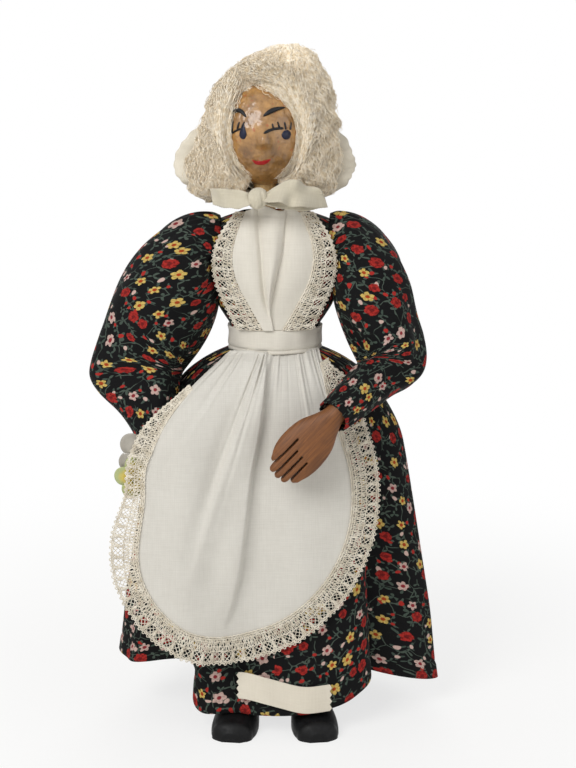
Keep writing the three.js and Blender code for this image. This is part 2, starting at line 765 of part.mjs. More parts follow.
function bowKnot() {
  const knot = new THREE.SphereGeometry(BOW_KNOT_RADIUS, 10, 8);
  knot.scale(0.8, 1, 1.15);
  return knot.translate(...bowMiddle.toArray());
}

/** A loop of ribbon standing on its edge beside the knot. */
function bowLoop(side) {
  const near = BOW_KNOT_RADIUS * 0.8 + FIT + BOW_CLOTH;
  return cloth((u, v) => {
    const angle = u * Math.PI * 2;
    const away = 0.5 - 0.5 * Math.cos(angle);
    const fullness = BOW_LOOP_HALF_WIDTH * (0.3 + 0.7 * away);
    return vec(
      bowMiddle.x + side * (near + BOW_LOOP_LENGTH * away),
      bowMiddle.y + fullness * Math.sin(angle),
      bowMiddle.z + BOW_RIBBON_WIDTH * (v - 0.5),
    );
  }, 20, 1, -side * BOW_CLOTH, { around: true });
}

/** A hanging end of the tie, lying on the back of the skirt. */
function bowTail(side) {
  const half = BOW_RIBBON_WIDTH / 2;
  const top = bowMiddle.z - BOW_RIBBON_WIDTH / 2 - FIT;
  return cloth((u, v) => {
    const z = top - v * BOW_TAIL_LENGTH;
    const x = side * mix(half + BOW_TAIL_GAP, half + BOW_TAIL_SPREAD, v) + mix(-half, half, u);
    const across = x / (skirtHalfWidth(z) + BOW_TAIL_LIFT);
    const hung = (skirtBack(z) + BOW_TAIL_LIFT) * Math.sqrt(1 - across * across);
    const y = Math.max(hung, bowMiddle.y - BOW_KNOT_RADIUS + BOW_TAIL_LIFT);
    return vec(x, y, z);
  }, 2, 12, BOW_CLOTH);
}

// Bib

function apronBib() {
  return cloth(bibSurface, 10, 8, BIB_CLOTH);
}

function bibLace(side) {
  return cloth(bibLaceSurface(side), 2, 12, side * LACE_CLOTH);
}

// Hem tag, with pinked ends

function hemTag() {
  const surface = (u, v) => {
    const teeth = TAG_TOOTH * Math.abs(((v * 4) % 1) - 0.5);
    const along = mix(-TAG_LENGTH / 2 + teeth, TAG_LENGTH / 2 - teeth, u);
    const x = TAG_SIDE + along;
    const z = TAG_RISE + HEM_HEIGHT - along * TAG_TILT + TAG_HEIGHT * (v - 0.5);
    const across = x / (skirtHalfWidth(z) + 1);
    const lift = TAG_WAVE * (2 - Math.cos(u * Math.PI * 4));
    return vec(x, -(skirtFront(z) + lift) * Math.sqrt(1 - across * across), z);
  };
  return cloth(surface, 6, 8, TAG_CLOTH);
}

// Head

/** Point of the nut's surface; polar runs from the crown down, around starts at the front. */
function nutPoint(polar, around, margin = 0) {
  const up = Math.cos(polar);
  const out = Math.sin(polar);
  const chin = up < 0 ? 1 - 0.1 * up * up : 1 - 0.04 * up * up;
  const side = Math.abs(Math.sin(around));
  const ridge = NUT_RIDGE * Math.exp(-Math.pow((1 - side) / 0.012, 2)) * out;
  const x = (HEAD_HALF_WIDTH * chin + ridge + margin) * out * Math.sin(around);
  const y = -(HEAD_HALF_DEPTH * chin + margin) * out * Math.cos(around);
  const z = (HEAD_HEIGHT / 2 + margin) * up;
  const above = z + NOSE_BELOW_MIDDLE;
  const fall = above > 0 ? NOSE_BRIDGE : NOSE_TIP;
  const nose = NOSE_HEIGHT * Math.exp(-Math.pow(x / NOSE_HALF_WIDTH, 2) - Math.pow(above / fall, 2));
  const forward = y < 0 ? nose : 0;
  return vec(x, y - forward, z).add(headMiddle);
}

/** Rings of the nut from crown to chin, closer together at the front. */
function nutRings(rows, sides, margin = 0) {
  return Array.from({ length: rows }, (_, row) => {
    const polar = mix(0.12, Math.PI - 0.12, row / (rows - 1));
    return Array.from({ length: sides }, (__, i) => {
      const turn = i / sides * Math.PI * 2;
      return nutPoint(polar, turn - 0.35 * Math.sin(turn), margin);
    });
  });
}

function walnutHead() {
  const bore = rod(
    vec(NECK_OFFSET, 0, chinHeight - 5),
    vec(NECK_OFFSET, 0, pegTop + FIT),
    NECK_PEG_RADIUS + FIT,
    NECK_PEG_RADIUS + FIT,
  );
  return cut(loft(nutRings(16, 26)), bore);
}

/** The wig as one full mass, before the face and the head are taken out. */
function wigMass(grow) {
  const rings = WIG_PROFILE.map((row) => (
    Array.from({ length: 26 }, (_, i) => {
      const angle = i / 26 * Math.PI * 2;
      const depth = Math.cos(angle) > 0 ? row.front : row.back;
      const curl = 1 + 0.02 * Math.sin(angle * 7 + row.rise * 0.45) + 0.012 * Math.sin(angle * 4 - row.rise * 0.3);
      return vec(
        NECK_OFFSET + row.side + (row.halfWidth + grow) * curl * Math.sin(angle),
        -(depth + grow) * curl * Math.cos(angle),
        chinHeight + row.rise + (row.rise < 0 ? -grow : grow) * 0.7,
      );
    })
  ));
  return loft(rings);
}

/** A level oval bar from front to back, for cutting openings seen from the front. */
function ovalBar(x, z, halfWidth, halfHeight, front, back) {
  const bar = new THREE.CylinderGeometry(1, 1, 1, 18);
  bar.scale(halfWidth, back - front, halfHeight);
  return bar.translate(x, (front + back) / 2, z);
}

function wig() {
  const face = ovalBar(
    NECK_OFFSET,
    headMiddle.z + 0.5,
    FACE_HALF_WIDTH,
    FACE_HALF_HEIGHT,
    -60,
    -FACE_DEPTH,
  );
  const throat = ovalBar(NECK_OFFSET, chinHeight - 5, THROAT_HALF_WIDTH, THROAT_HALF_HEIGHT, -60, 14);
  return cut(wigMass(0), loft(nutRings(12, 22, 3 * FIT)), face, throat);
}

/** The bonnet: a pleated puff behind the wig, open where the wig fills it. */
function bonnetCrown() {
  const rows = 6;
  const sides = BONNET_PLEATS * 2;
  const middle = chinHeight + BONNET_RISE;
  const rings = Array.from({ length: rows }, (_, row) => {
    const turn = row / (rows - 1) * Math.PI / 2 * 0.97;
    const size = Math.pow(Math.cos(turn), 0.8);
    const y = BONNET_FRONT + BONNET_PUFF * Math.sin(turn);
    return Array.from({ length: sides }, (__, i) => {
      const angle = i / sides * Math.PI * 2;
      const pleat = BONNET_PLEAT_DEPTH * (0.5 - 0.5 * Math.cos(angle * BONNET_PLEATS)) * size;
      const sine = Math.sin(angle);
      const cosine = Math.cos(angle);
      const square = Math.pow(Math.pow(Math.abs(sine), 2.5) + Math.pow(Math.abs(cosine), 2.5), -1 / 2.5);
      const across = (BONNET_HALF_WIDTH * size - pleat) * square * cosine;
      const up = ((sine > 0 ? BONNET_UP : BONNET_DOWN) * size - pleat) * square * sine;
      return vec(NECK_OFFSET + across, y, middle + up);
    });
  });
  return cut(loft(rings), wigMass(FIT));
}

// Ribbon under the chin

const knotPlace = vec(NECK_OFFSET + KNOT_SIDE, -KNOT_FORWARD, chinHeight - KNOT_DROP);

function chinKnot() {
  const knot = new THREE.SphereGeometry(1, 12, 8);
  knot.scale(KNOT_HALF_WIDTH, KNOT_HALF_DEPTH, KNOT_HALF_HEIGHT);
  knot.rotateY(radians(KNOT_TILT));
  return knot.translate(...knotPlace.toArray());
}

/** A strip of ribbon that leaves the knot and tucks in under the wig. */
function chinRibbon(side, { reach, fanRatio, peak }) {
  const surface = (u, v) => {
    const x = knotPlace.x + side * mix(KNOT_HALF_WIDTH + 2 * FIT, reach, u);
    const y = mix(knotPlace.y, -RIBBON_END_FORWARD, Math.pow(u, 1.3)) - 1.2 * Math.sin(u * Math.PI * 2) * (v - 0.3);
    const middle = knotPlace.z + FIT + peak * Math.sin(Math.PI * Math.pow(u, 0.7));
    const width = mix(RIBBON_WIDTH * 0.75, RIBBON_WIDTH * fanRatio, ramp(u, 0, 0.6));
    return vec(x, y, middle + (v - 0.5) * width);
  };
  return cut(cloth(surface, 9, 2, side * RIBBON_CLOTH), wigMass(FIT));
}

// Arms

const palmGap = HAND_THICKNESS / 2 + SWING;
const leftWrist = vec(
  LEFT_ARM.wristSide,
  apronDepth(LEFT_ARM.wristSide - 12, WAIST_HEIGHT - LEFT_ARM.wristDrop - 20) - APRON_FOLD_DEPTH - APRON_CLOTH
    - palmGap - LEFT_HAND_LIFT,
  WAIST_HEIGHT - LEFT_ARM.wristDrop,
);
const rightWrist = vec(
  RIGHT_ARM.wristSide,
  skirtEnvelope(radians(-47), WAIST_HEIGHT - RIGHT_ARM.wristDrop - 16).y - RIGHT_HAND_LIFT - palmGap,
  WAIST_HEIGHT - RIGHT_ARM.wristDrop,
);

/** Everything that sets one arm: its pivots, its bend and the fullness of its sleeve. */
const setArm = (sign, shoulder, wrist, sizes) => ({
  ...sizes,
  sign,
  shoulder,
  wrist,
  elbow: shoulder.clone().add(vec(...sizes.elbow)),
  handWay: vec(...sizes.handWay).normalize(),
  handAcross: vec(...sizes.handAcross),
  shoulderAxis: vec(...sizes.shoulderAxis),
});
const arms = {
  left: setArm(1, shoulders.left, leftWrist, LEFT_ARM),
  right: setArm(-1, shoulders.right, rightWrist, RIGHT_ARM),
};

for (const arm of Object.values(arms)) {
  const upper = arm.elbow.clone().sub(arm.shoulder).normalize();
  const lower = arm.wrist.clone().sub(arm.elbow).normalize();
  arm.upperWay = upper;
  arm.lowerWay = lower;
  arm.elbowAxis = upper.clone().cross(lower).normalize().multiplyScalar(arm.sign);
}

/** Points of a round ring square to a direction. */
function ring(middle, way, radius, sides, lobe = 0) {
  const first = way.clone().cross(vec(0, 1, 0)).normalize();
  const second = way.clone().cross(first).normalize();
  return Array.from({ length: sides }, (_, i) => {
    const angle = i / sides * Math.PI * 2;
    const size = radius * (1 + lobe * Math.cos(angle * 5));
    return middle.clone()
      .addScaledVector(first, size * Math.cos(angle))
      .addScaledVector(second, size * Math.sin(angle));
  });
}

/** The wrapped wire of the upper arm, round at the elbow and hollowed for the wire's end at the shoulder. */
function upperArm(arm) {
  const radius = ARM_ROLL_RADIUS;
  const roll = join(
    rod(arm.shoulder, arm.elbow, radius * 0.9, radius * 0.9, 8),
    ball(arm.elbow, radius, 8),
  );
  return cut(roll, ball(arm.shoulder, WIRE_END_RADIUS + 3 * FIT, 10));
}

/** The wrapped wire of the forearm, hollowed for the elbow. */
function forearm(arm, grow = 0) {
  const end = arm.wrist.clone().addScaledVector(arm.lowerWay, -HAND_PEG_LENGTH - FIT + grow);
  const radius = ARM_ROLL_RADIUS + grow;
  const roll = rod(arm.elbow, end, radius, radius, 10);
  return grow > 0 ? roll : cut(roll, ball(arm.elbow, ARM_ROLL_RADIUS * 1.9, 10));
}

/** The outside of the lower sleeve from the elbow to the wrist, grown by a margin. */
function lowerSleeveTube(arm, margin) {
  const shares = [0.02, 0.25, 0.5, 0.75, 0.98];
  return loft(shares.map((share) => {
    const place = arm.elbow.clone().lerp(arm.wrist, share);
    const swell = 1 + 0.06 * Math.sin(Math.PI * share);
    const radius = mix(arm.elbowRadius * 0.9, arm.wristRadius, Math.pow(share, arm.taperRatio)) * swell;
    return ring(place, arm.lowerWay, radius + margin, 12, 0.02);
  }));
}

/** The room that the forearm and its sleeve pass through as the elbow bends. */
function elbowRoom(arm) {
  const tube = lowerSleeveTube(arm, 2.5 * SWING);
  const copies = swept(tube, arm.elbow, arm.elbowAxis, 0, arm.elbowAngle, 1);
  return [ball(arm.elbow, arm.elbowRadius + 3 * SWING, 12), ...copies];
}

/** The room that the upper arm passes through inside the lower sleeve as the elbow bends. */
function upperArmRoom(arm) {
  const radius = ARM_ROLL_RADIUS + 2 * SWING;
  const tube = rod(arm.elbow, arm.shoulder, radius, radius, 8);
  return [ball(arm.elbow, radius, 10), ...swept(tube, arm.elbow, arm.elbowAxis, 0, -arm.elbowAngle, 2)];
}

/** The lower sleeve: round at the elbow, narrowing to the wrist and open round the hand. */
function lowerSleeve(arm) {
  const full = join(lowerSleeveTube(arm, 0), ball(arm.elbow, arm.elbowRadius, 12));
  const cuff = rod(
    arm.wrist.clone().addScaledVector(arm.lowerWay, -HAND_PEG_LENGTH - 2 * FIT),
    arm.wrist.clone().addScaledVector(arm.lowerWay, 3),
    HAND_PEG_RADIUS + 2 * FIT,
    HAND_PEG_RADIUS + 2 * FIT,
    16,
  );
  const wristRoom = rod(
    arm.wrist.clone().addScaledVector(arm.handWay, -2),
    arm.wrist.clone().addScaledVector(arm.handWay, HAND_LENGTH * 0.28),
    HAND_PEG_RADIUS + 2 * FIT,
    HAND_PALM_HALF_WIDTH,
    14,
  );
  return cut(full, ...upperArmRoom(arm), forearm(arm, FIT), cuff, wristRoom, skirtRoom(1.5));
}

/** The full upper sleeve, gathered at the armhole and open round the elbow. */
function upperSleeve(arm) {
  const length = arm.elbow.distanceTo(arm.shoulder);
  const count = 8;
  const rings = Array.from({ length: count }, (_, i) => {
    const share = i / (count - 1);
    const along = mix(-0.1, 1.17, share) * length;
    const place = arm.shoulder.clone().addScaledVector(arm.upperWay, along);
    return ring(place, arm.upperWay, through(arm.puff, share), 16, 0.035 * (1 - share));
  });
  const reach = WAIST_HEIGHT;
  const plane = new THREE.BoxGeometry(reach, reach, 2 * reach);
  const limit = SHOULDER_OFFSET - 0.5 - ARM_PLANE_GAP;
  plane.translate(arm.sign * (limit - reach / 2), 0, arm.shoulder.z);
  const full = join(cut(loft(rings), plane), ball(arm.shoulder, SHOULDER_BALL, 12));
  const wire = rod(
    arm.shoulder,
    vec(0, 0, shoulderHeight),
    SHOULDER_WIRE_RADIUS + SWING,
    SHOULDER_WIRE_RADIUS + SWING,
    8,
  );
  const wires = swept(wire, arm.shoulder, arm.shoulderAxis, 0, -arm.shoulderAngle, 2);
  const socket = ball(arm.shoulder, WIRE_END_RADIUS + 2 * SWING, 8);
  const roll = rod(arm.shoulder, arm.elbow, ARM_ROLL_RADIUS + FIT, ARM_ROLL_RADIUS + FIT, 10);
  return cut(full, ...elbowRoom(arm), roll, socket, ...wires, skirtRoom(1.5));
}

/** A flat carved hand with sawn fingers; x is across with the thumb at -x, y is the palm, z runs to the fingertips. */
function carvedHand() {
  const stations = [
    { along: -HAND_PEG_LENGTH, half: HAND_PEG_RADIUS, thick: HAND_PEG_RADIUS, square: 2 },
    { along: 0, half: HAND_PEG_RADIUS, thick: HAND_PEG_RADIUS, square: 2 },
    { along: HAND_LENGTH * 0.1, half: HAND_PALM_HALF_WIDTH * 0.6, thick: HAND_THICKNESS * 0.48, square: 2.2 },
    { along: HAND_LENGTH * 0.28, half: HAND_PALM_HALF_WIDTH * 0.88, thick: HAND_THICKNESS * 0.5, square: 2.4 },
    { along: HAND_LENGTH * 0.5, half: HAND_PALM_HALF_WIDTH, thick: HAND_THICKNESS * 0.49, square: 2.5 },
    { along: HAND_LENGTH * 0.7, half: HAND_PALM_HALF_WIDTH * 0.96, thick: HAND_THICKNESS * 0.43, square: 2.5 },
    { along: HAND_LENGTH * 0.88, half: HAND_PALM_HALF_WIDTH * 0.84, thick: HAND_THICKNESS * 0.34, square: 2.5 },
    { along: HAND_LENGTH, half: HAND_PALM_HALF_WIDTH * 0.7, thick: HAND_THICKNESS * 0.22, square: 2.4 },
  ];
  const rings = stations.map(({ along, half, thick, square }) => (
    Array.from({ length: 16 }, (_, i) => {
      const angle = i / 16 * Math.PI * 2;
      const c = Math.cos(angle);
      const s = Math.sin(angle);
      return vec(
        half * Math.sign(c) * Math.pow(Math.abs(c), 2 / square),
        thick * Math.sign(s) * Math.pow(Math.abs(s), 2 / square),
        along,
      );
    })
  ));
  const saw = (x, from) => {
    const blade = new THREE.BoxGeometry(KERF, HAND_THICKNESS * 2, HAND_LENGTH);
    return blade.translate(x, 0, from + HAND_LENGTH / 2);
  };
  const half = HAND_PALM_HALF_WIDTH;
  const kerfs = [
    saw(-half * 0.5, HAND_LENGTH * 0.46),
    saw(-half * 0.19, HAND_LENGTH * 0.64),
    saw(half * 0.12, HAND_LENGTH * 0.66),
    saw(half * 0.43, HAND_LENGTH * 0.65),
  ];
  const thumbEnd = new THREE.BoxGeometry(half, HAND_THICKNESS * 2, HAND_LENGTH);
  thumbEnd.rotateY(radians(-14));
  thumbEnd.translate(-half, 0, HAND_LENGTH * 1.27);
  return cut(loft(rings), ...kerfs, thumbEnd);
}

/** Place of the hand: from its wrist along handWay, its width along handAcross. */
function handFrame(arm) {
  const along = arm.handWay.clone();
  const across = arm.handAcross.clone().addScaledVector(along, -arm.handAcross.dot(along)).normalize();
  const palm = along.clone().cross(across).normalize();
  const frame = new THREE.Matrix4().makeBasis(across, palm, along);
  return frame.setPosition(arm.wrist);
}

/** The hand with its peg turned into the sleeve, so that it meets the end of the forearm. */
function hand(arm) {
  const blade = carvedHand().applyMatrix4(handFrame(arm));
  const pegRoom = rod(
    arm.wrist.clone().addScaledVector(arm.handWay, -HAND_PEG_LENGTH * 2),
    arm.wrist.clone(),
    HAND_PEG_RADIUS * 2,
    HAND_PEG_RADIUS * 2,
    8,
  );
  const peg = rod(
    arm.wrist.clone().addScaledVector(arm.lowerWay, -HAND_PEG_LENGTH),
    arm.wrist.clone(),
    HAND_PEG_RADIUS - FIT,
    HAND_PEG_RADIUS - FIT,
    12,
  );
  return join(cut(blade, pegRoom), peg, ball(arm.wrist, HAND_PEG_RADIUS - FIT, 12));
}

// Flowers held in front of the right palm

const posyFoot = arms.right.wrist.clone().add(vec(0, -palmGap - STEM_RADIUS, -HAND_LENGTH * 0.8));
const whitePlace = arms.right.wrist.clone().add(vec(WHITE_SIDE, -palmGap - WHITE_FORWARD, -WHITE_DROP));
const yellowPlace = arms.right.wrist.clone().add(vec(YELLOW_SIDE, -palmGap - YELLOW_FORWARD, -YELLOW_DROP));

/** An open flower of five petals that faces forward. */
function bloom(place, radius, turn) {
  const outline = new THREE.Shape(Array.from({ length: 40 }, (_, i) => {
    const angle = i / 40 * Math.PI * 2;
    const reach = radius * (0.6 + 0.4 * Math.sqrt(Math.abs(Math.cos(2.5 * (angle + turn)))));
    return new THREE.Vector2(reach * Math.cos(angle), reach * Math.sin(angle));
  }));
  const eye = new THREE.Path();
  eye.absarc(0, 0, STEM_RADIUS + FIT, 0, Math.PI * 2, true);
  outline.holes.push(eye);
  const petals = new THREE.ExtrudeGeometry(outline, { depth: PETAL_CLOTH, bevelEnabled: false, curveSegments: 3 });
  petals.rotateX(Math.PI / 2);
  return petals.translate(place.x, place.y, place.z);
}

/** The stems, one to each flower, joined at the foot. */
function flowerStem() {
  const stemTo = (place) => bar([
    posyFoot,
    posyFoot.clone().lerp(vec(place.x, posyFoot.y, place.z), 0.6),
    vec(place.x, posyFoot.y - STEM_BEND_FORWARD, place.z - STEM_BEND_DROP),
    vec(place.x, place.y + STEM_END, place.z),
    vec(place.x, place.y - PETAL_CLOTH - STEM_END, place.z),
  ], STEM_RADIUS, 3, 10);
  return join(stemTo(whitePlace), stemTo(yellowPlace));
}

// Finishes and assembly

const finish = (color, roughness, metalness = 0) => (
  new THREE.MeshStandardMaterial({ color, roughness, metalness })
);

const doll = new THREE.Group();
doll.name = 'walnut_doll';

/** One named piece of the doll. */
function piece(name, geometry, material) {
  const mesh = new THREE.Mesh(geometry, material);
  mesh.name = name;
  doll.add(mesh);
}

piece('torso_block', torsoBlock(), finish(0xc9a877, 0.7));
piece('neck_peg', neckPeg(), finish(0xd2b48a, 0.65));
piece('shoulder_wire', shoulderWire(), finish(0x8d8f92, 0.4, 0.9));
piece('dress_bodice', dressBodice(), finish(0x17171a, 0.85));
piece('dress_skirt', dressSkirt(), finish(0x19191c, 0.85));
piece('apron_waistband', apronBand(), finish(0xf1eee6, 0.85));
piece('apron_skirt', apronSkirt(), finish(0xf0eee8, 0.85));
piece('apron_lace', apronLace(), finish(0xf6f2e6, 0.8));
piece('apron_bib', apronBib(), finish(0xf3f1ea, 0.85));
piece('apron_bow_knot', bowKnot(), finish(0xf1eee6, 0.85));
piece('hem_tag', hemTag(), finish(0xf3ecd9, 0.8));
piece('walnut_head', walnutHead(), finish(0xb98a52, 0.3));
piece('wig', wig(), finish(0xefe8d8, 0.75));
piece('bonnet_crown', bonnetCrown(), finish(0xf6f5f0, 0.85));
piece('chin_knot', chinKnot(), finish(0xf2ead6, 0.5));
piece('chin_ribbon_right', chinRibbon(-1, RIGHT_RIBBON), finish(0xf2ead6, 0.5));
piece('chin_ribbon_left', chinRibbon(1, LEFT_RIBBON), finish(0xf2ead6, 0.5));

for (const [side, sign] of [['left', 1], ['right', -1]]) {
  const arm = arms[side];
  piece(`${side}_leg`, leg(sign), finish(0xc9a877, 0.7));
  piece(`${side}_shoe`, shoe(sign), finish(0x101012, 0.4));
  piece(`bib_lace_${side}`, bibLace(sign), finish(0xf6f2e6, 0.8));
  piece(`apron_bow_loop_${side}`, bowLoop(sign), finish(0xf1eee6, 0.85));
  piece(`apron_bow_tail_${side}`, bowTail(sign), finish(0xf1eee6, 0.85));
  piece(`${side}_upper_arm`, upperArm(arm), finish(0xe6dccb, 0.9));
  piece(`${side}_forearm`, forearm(arm), finish(0xe6dccb, 0.9));
  piece(`${side}_upper_sleeve`, upperSleeve(arm), finish(0x17171a, 0.85));
  piece(`${side}_lower_sleeve`, lowerSleeve(arm), finish(0x17171a, 0.85));
  piece(`${side}_hand`, hand(arm), finish(0x8a5430, 0.45));
}
piece('flower_stem', flowerStem(), finish(0x6f8f4c, 0.6));
piece('flower_white', bloom(whitePlace, WHITE_RADIUS, 0.3), finish(0xd9d7d0, 0.4));
piece('flower_yellow', bloom(yellowPlace, YELLOW_RADIUS, 0.9), finish(0xd9c24a, 0.4));

// The frame's origin is under the middle of the whole doll, at floor height.
const extent = new THREE.Box3().setFromObject(doll);
const middle = extent.getCenter(vec(0, 0, 0));
for (const mesh of doll.children) {
  mesh.position.set(-middle.x, -middle.y, 0);
}

// Pivots of the joints in the same frame.
const pivot = (place) => place.clone().sub(vec(middle.x, middle.y, 0)).toArray();
doll.userData.pivots = {
  axis: pivot(vec(0, 0, 0)),
  head: pivot(vec(NECK_OFFSET, 0, chinHeight)),
  ...Object.fromEntries(Object.entries(arms).map(([side, arm]) => [side, {
    shoulder: pivot(arm.shoulder),
    shoulderAxis: arm.shoulderAxis.toArray(),
    elbow: pivot(arm.elbow),
    elbowAxis: arm.elbowAxis.toArray(),
    wrist: pivot(arm.wrist),
  }])),
};

export default doll;
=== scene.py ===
"""Standing cloth doll with a nut for a head: cloth, lace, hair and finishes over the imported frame.

Sizes are millimetres about the body's upright axis: +X is the doll's left, -Y its front, +Z up.
"""

import json
import logging
import math
from dataclasses import dataclass
from enum import Enum
from functools import partial
from typing import Any, Callable, Sequence

import bmesh
import bpy
import numpy as np
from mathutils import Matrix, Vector, noise

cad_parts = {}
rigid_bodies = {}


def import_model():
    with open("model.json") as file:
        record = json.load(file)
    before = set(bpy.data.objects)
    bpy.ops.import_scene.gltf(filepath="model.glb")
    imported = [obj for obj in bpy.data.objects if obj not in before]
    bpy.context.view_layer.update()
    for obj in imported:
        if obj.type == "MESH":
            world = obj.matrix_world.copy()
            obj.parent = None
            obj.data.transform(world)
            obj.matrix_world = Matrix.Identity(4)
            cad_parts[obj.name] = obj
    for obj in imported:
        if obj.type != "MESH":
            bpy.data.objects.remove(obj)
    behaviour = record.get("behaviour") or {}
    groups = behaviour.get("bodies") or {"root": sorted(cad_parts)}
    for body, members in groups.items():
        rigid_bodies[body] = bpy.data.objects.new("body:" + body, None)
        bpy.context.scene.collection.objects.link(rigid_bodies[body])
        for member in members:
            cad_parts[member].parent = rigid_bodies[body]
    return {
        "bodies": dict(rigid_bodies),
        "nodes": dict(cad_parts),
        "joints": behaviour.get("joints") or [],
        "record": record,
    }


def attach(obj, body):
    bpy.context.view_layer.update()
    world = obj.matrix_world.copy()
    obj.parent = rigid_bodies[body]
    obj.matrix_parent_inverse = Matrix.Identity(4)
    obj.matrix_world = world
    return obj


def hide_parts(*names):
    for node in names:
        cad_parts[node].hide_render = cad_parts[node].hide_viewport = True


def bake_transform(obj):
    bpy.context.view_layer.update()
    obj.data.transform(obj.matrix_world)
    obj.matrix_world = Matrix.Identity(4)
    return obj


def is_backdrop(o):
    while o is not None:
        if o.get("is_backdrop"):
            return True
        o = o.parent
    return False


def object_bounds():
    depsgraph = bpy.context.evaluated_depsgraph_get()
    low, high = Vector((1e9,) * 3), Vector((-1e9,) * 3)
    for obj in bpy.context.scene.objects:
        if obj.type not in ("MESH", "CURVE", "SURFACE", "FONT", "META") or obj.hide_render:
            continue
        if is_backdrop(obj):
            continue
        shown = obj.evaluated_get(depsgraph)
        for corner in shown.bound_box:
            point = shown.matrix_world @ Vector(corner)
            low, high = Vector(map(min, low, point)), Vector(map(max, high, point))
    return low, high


Array = np.ndarray
Inputs = dict[str, Any]
New = Callable[..., Any]
Pair = tuple[float, float]
Point = tuple[float, float, float]
Thing = bpy.types.Object
LOG = logging.getLogger("doll")
MM = 0.001
TURN = 2 * math.pi
SIDES = (("left", 1), ("right", -1))


class Node(Enum):
    """Shader nodes that the finishes are made of, each with its settings."""

    ABSOLUTE = "Math operation=ABSOLUTE"
    ADD = "Math operation=ADD"
    ARCTAN2 = "Math operation=ARCTAN2"
    BUMP = "Bump"
    CELLS = "TexVoronoi voronoi_dimensions=2D"
    CELL_EDGES = "TexVoronoi voronoi_dimensions=2D feature=DISTANCE_TO_EDGE"
    CLOTH = "UVMap uv_map=cloth"
    COORDS = "TexCoord"
    DARKEN = "MixRGB blend_type=MULTIPLY"
    EMIT = "Emission"
    GREATER_THAN = "Math operation=GREATER_THAN"
    LESS_THAN = "Math operation=LESS_THAN"
    LIGHT_PATH = "LightPath"
    MAPPING = "Mapping"
    MAXIMUM = "Math operation=MAXIMUM"
    MIX = "MixRGB"
    MIX_SHADER = "MixShader"
    MULTIPLY = "Math operation=MULTIPLY"
    MULTIPLY_ADD = "Math operation=MULTIPLY_ADD"
    NOISE = "TexNoise"
    OUTPUT = "OutputMaterial"
    POWER = "Math operation=POWER"
    RANGE = "MapRange"
    SINE = "Math operation=SINE"
    SOFT_RANGE = "MapRange interpolation_type=SMOOTHSTEP"
    SPLIT = "SeparateXYZ"
    SUBTRACT = "Math operation=SUBTRACT"
    SURFACE = "BsdfPrincipled"
    VECTOR_LENGTH = "VectorMath operation=LENGTH"
    VECTOR_MULTIPLY = "VectorMath operation=MULTIPLY"
    VECTOR_MULTIPLY_ADD = "VectorMath operation=MULTIPLY_ADD"
    VECTOR_SUBTRACT = "VectorMath operation=SUBTRACT"
    WAVE_X = "TexWave bands_direction=X"
    WAVE_Y = "TexWave bands_direction=Y"
    WORLD = "Background"
    WORLD_OUTPUT = "OutputWorld"


class Hold(Enum):
    """Ways in which a cloth is held."""

    GATHERED = "gathered"
    STRETCHED = "stretched"
    HUNG = "hung"
    LAID = "laid"
    FOLDED = "folded"


# Small sums


def mix(low: Any, high: Any, share: Any) -> Any:
    """Value between low and high."""
    return low + (high - low) * share


def ramp(value: Any, low: float, high: float) -> Any:
    """Smooth step from 0 at low to 1 at high."""
    share = np.clip((value - low) / (high - low), 0, 1)
    return share * share * (3 - 2 * share)


def bell(value: Any, spread: Any) -> Any:
    """Bell of height 1 about 0."""
    return np.exp(-((value / spread) ** 2))


def unit(vectors: Array) -> Array:
    """Vectors of length 1."""
    return vectors / np.maximum(np.linalg.norm(vectors, axis=-1, keepdims=True), 1e-9)


def around(angle: Array, degrees: float) -> Array:
    """Signed angle from a direction given in degrees."""
    away = angle - math.radians(degrees)
    return np.arctan2(np.sin(away), np.cos(away))


def curve(knots: Sequence[float], values: Any, at: Any) -> Array:
    """Smooth curve through values at knots.

    Args:
        knots: Rising places of the values.
        values: One number or one point for each knot.
        at: Places to read the curve at, held inside the knots.

    Returns:
        The curve's values there.
    """
    knots, values, at = (np.asarray(x, float) for x in (knots, values, at))
    slope = np.gradient(values, knots, axis=0)
    at = np.clip(at, knots[0], knots[-1])
    i = np.clip(np.searchsorted(knots, at, side="right") - 1, 0, len(knots) - 2)
    step = knots[i + 1] - knots[i]
    t = (at - knots[i]) / step
    if values.ndim > 1:
        t, step = t[..., None], step[..., None]
    first = (2 * t**3 - 3 * t**2 + 1) * values[i] + (t**3 - 2 * t**2 + t) * step * slope[i]
    return first + (3 * t**2 - 2 * t**3) * values[i + 1] + (t**3 - t**2) * step * slope[i + 1]


def even(values: Any, share: Any) -> Array:
    """Smooth curve through evenly spaced values, share from 0 to 1."""
    return curve(np.linspace(0, 1, len(values)), values, share)


def lumps(points: Array, *octaves: tuple[float, Any]) -> Array:
    """Smooth noise at points.

    Args:
        points: Rows and columns of points.
        octaves: Strength of each noise, and the scale of the points for it.

    Returns:
        The sum of the noises at each point.
    """
    flat = points.reshape(-1, 3)
    values = [sum(part * noise.noise(Vector(p * scale)) for part, scale in octaves) for p in flat]
    return np.array(values).reshape(points.shape[:2])


def distance(path: Array) -> Array:
    """Distance along a path at each of its points."""
    return np.concatenate([[0], np.cumsum(np.linalg.norm(np.diff(path, axis=0), axis=1))])


# Meshes


@dataclass
class Skin:
    """Points, four-sided faces and their cloth coordinates, before they become an object."""

    points: Array
    faces: Array
    uv: Array


def numbers(rows: int, columns: int, wrap: bool) -> Array:
    """Numbers of a grid's points, with the first column once more where rows close on themselves."""
    index = np.arange(rows * columns).reshape(rows, columns)
    return np.concatenate([index, index[:, :1]], 1) if wrap else index


def quads(grid: Array) -> Array:
    """What the four corners of each cell of a grid hold, cell by cell."""
    corners = (grid[:-1, :-1], grid[:-1, 1:], grid[1:, 1:], grid[1:, :-1])
    return np.stack(corners, 2).reshape(-1, 4, *grid.shape[2:])


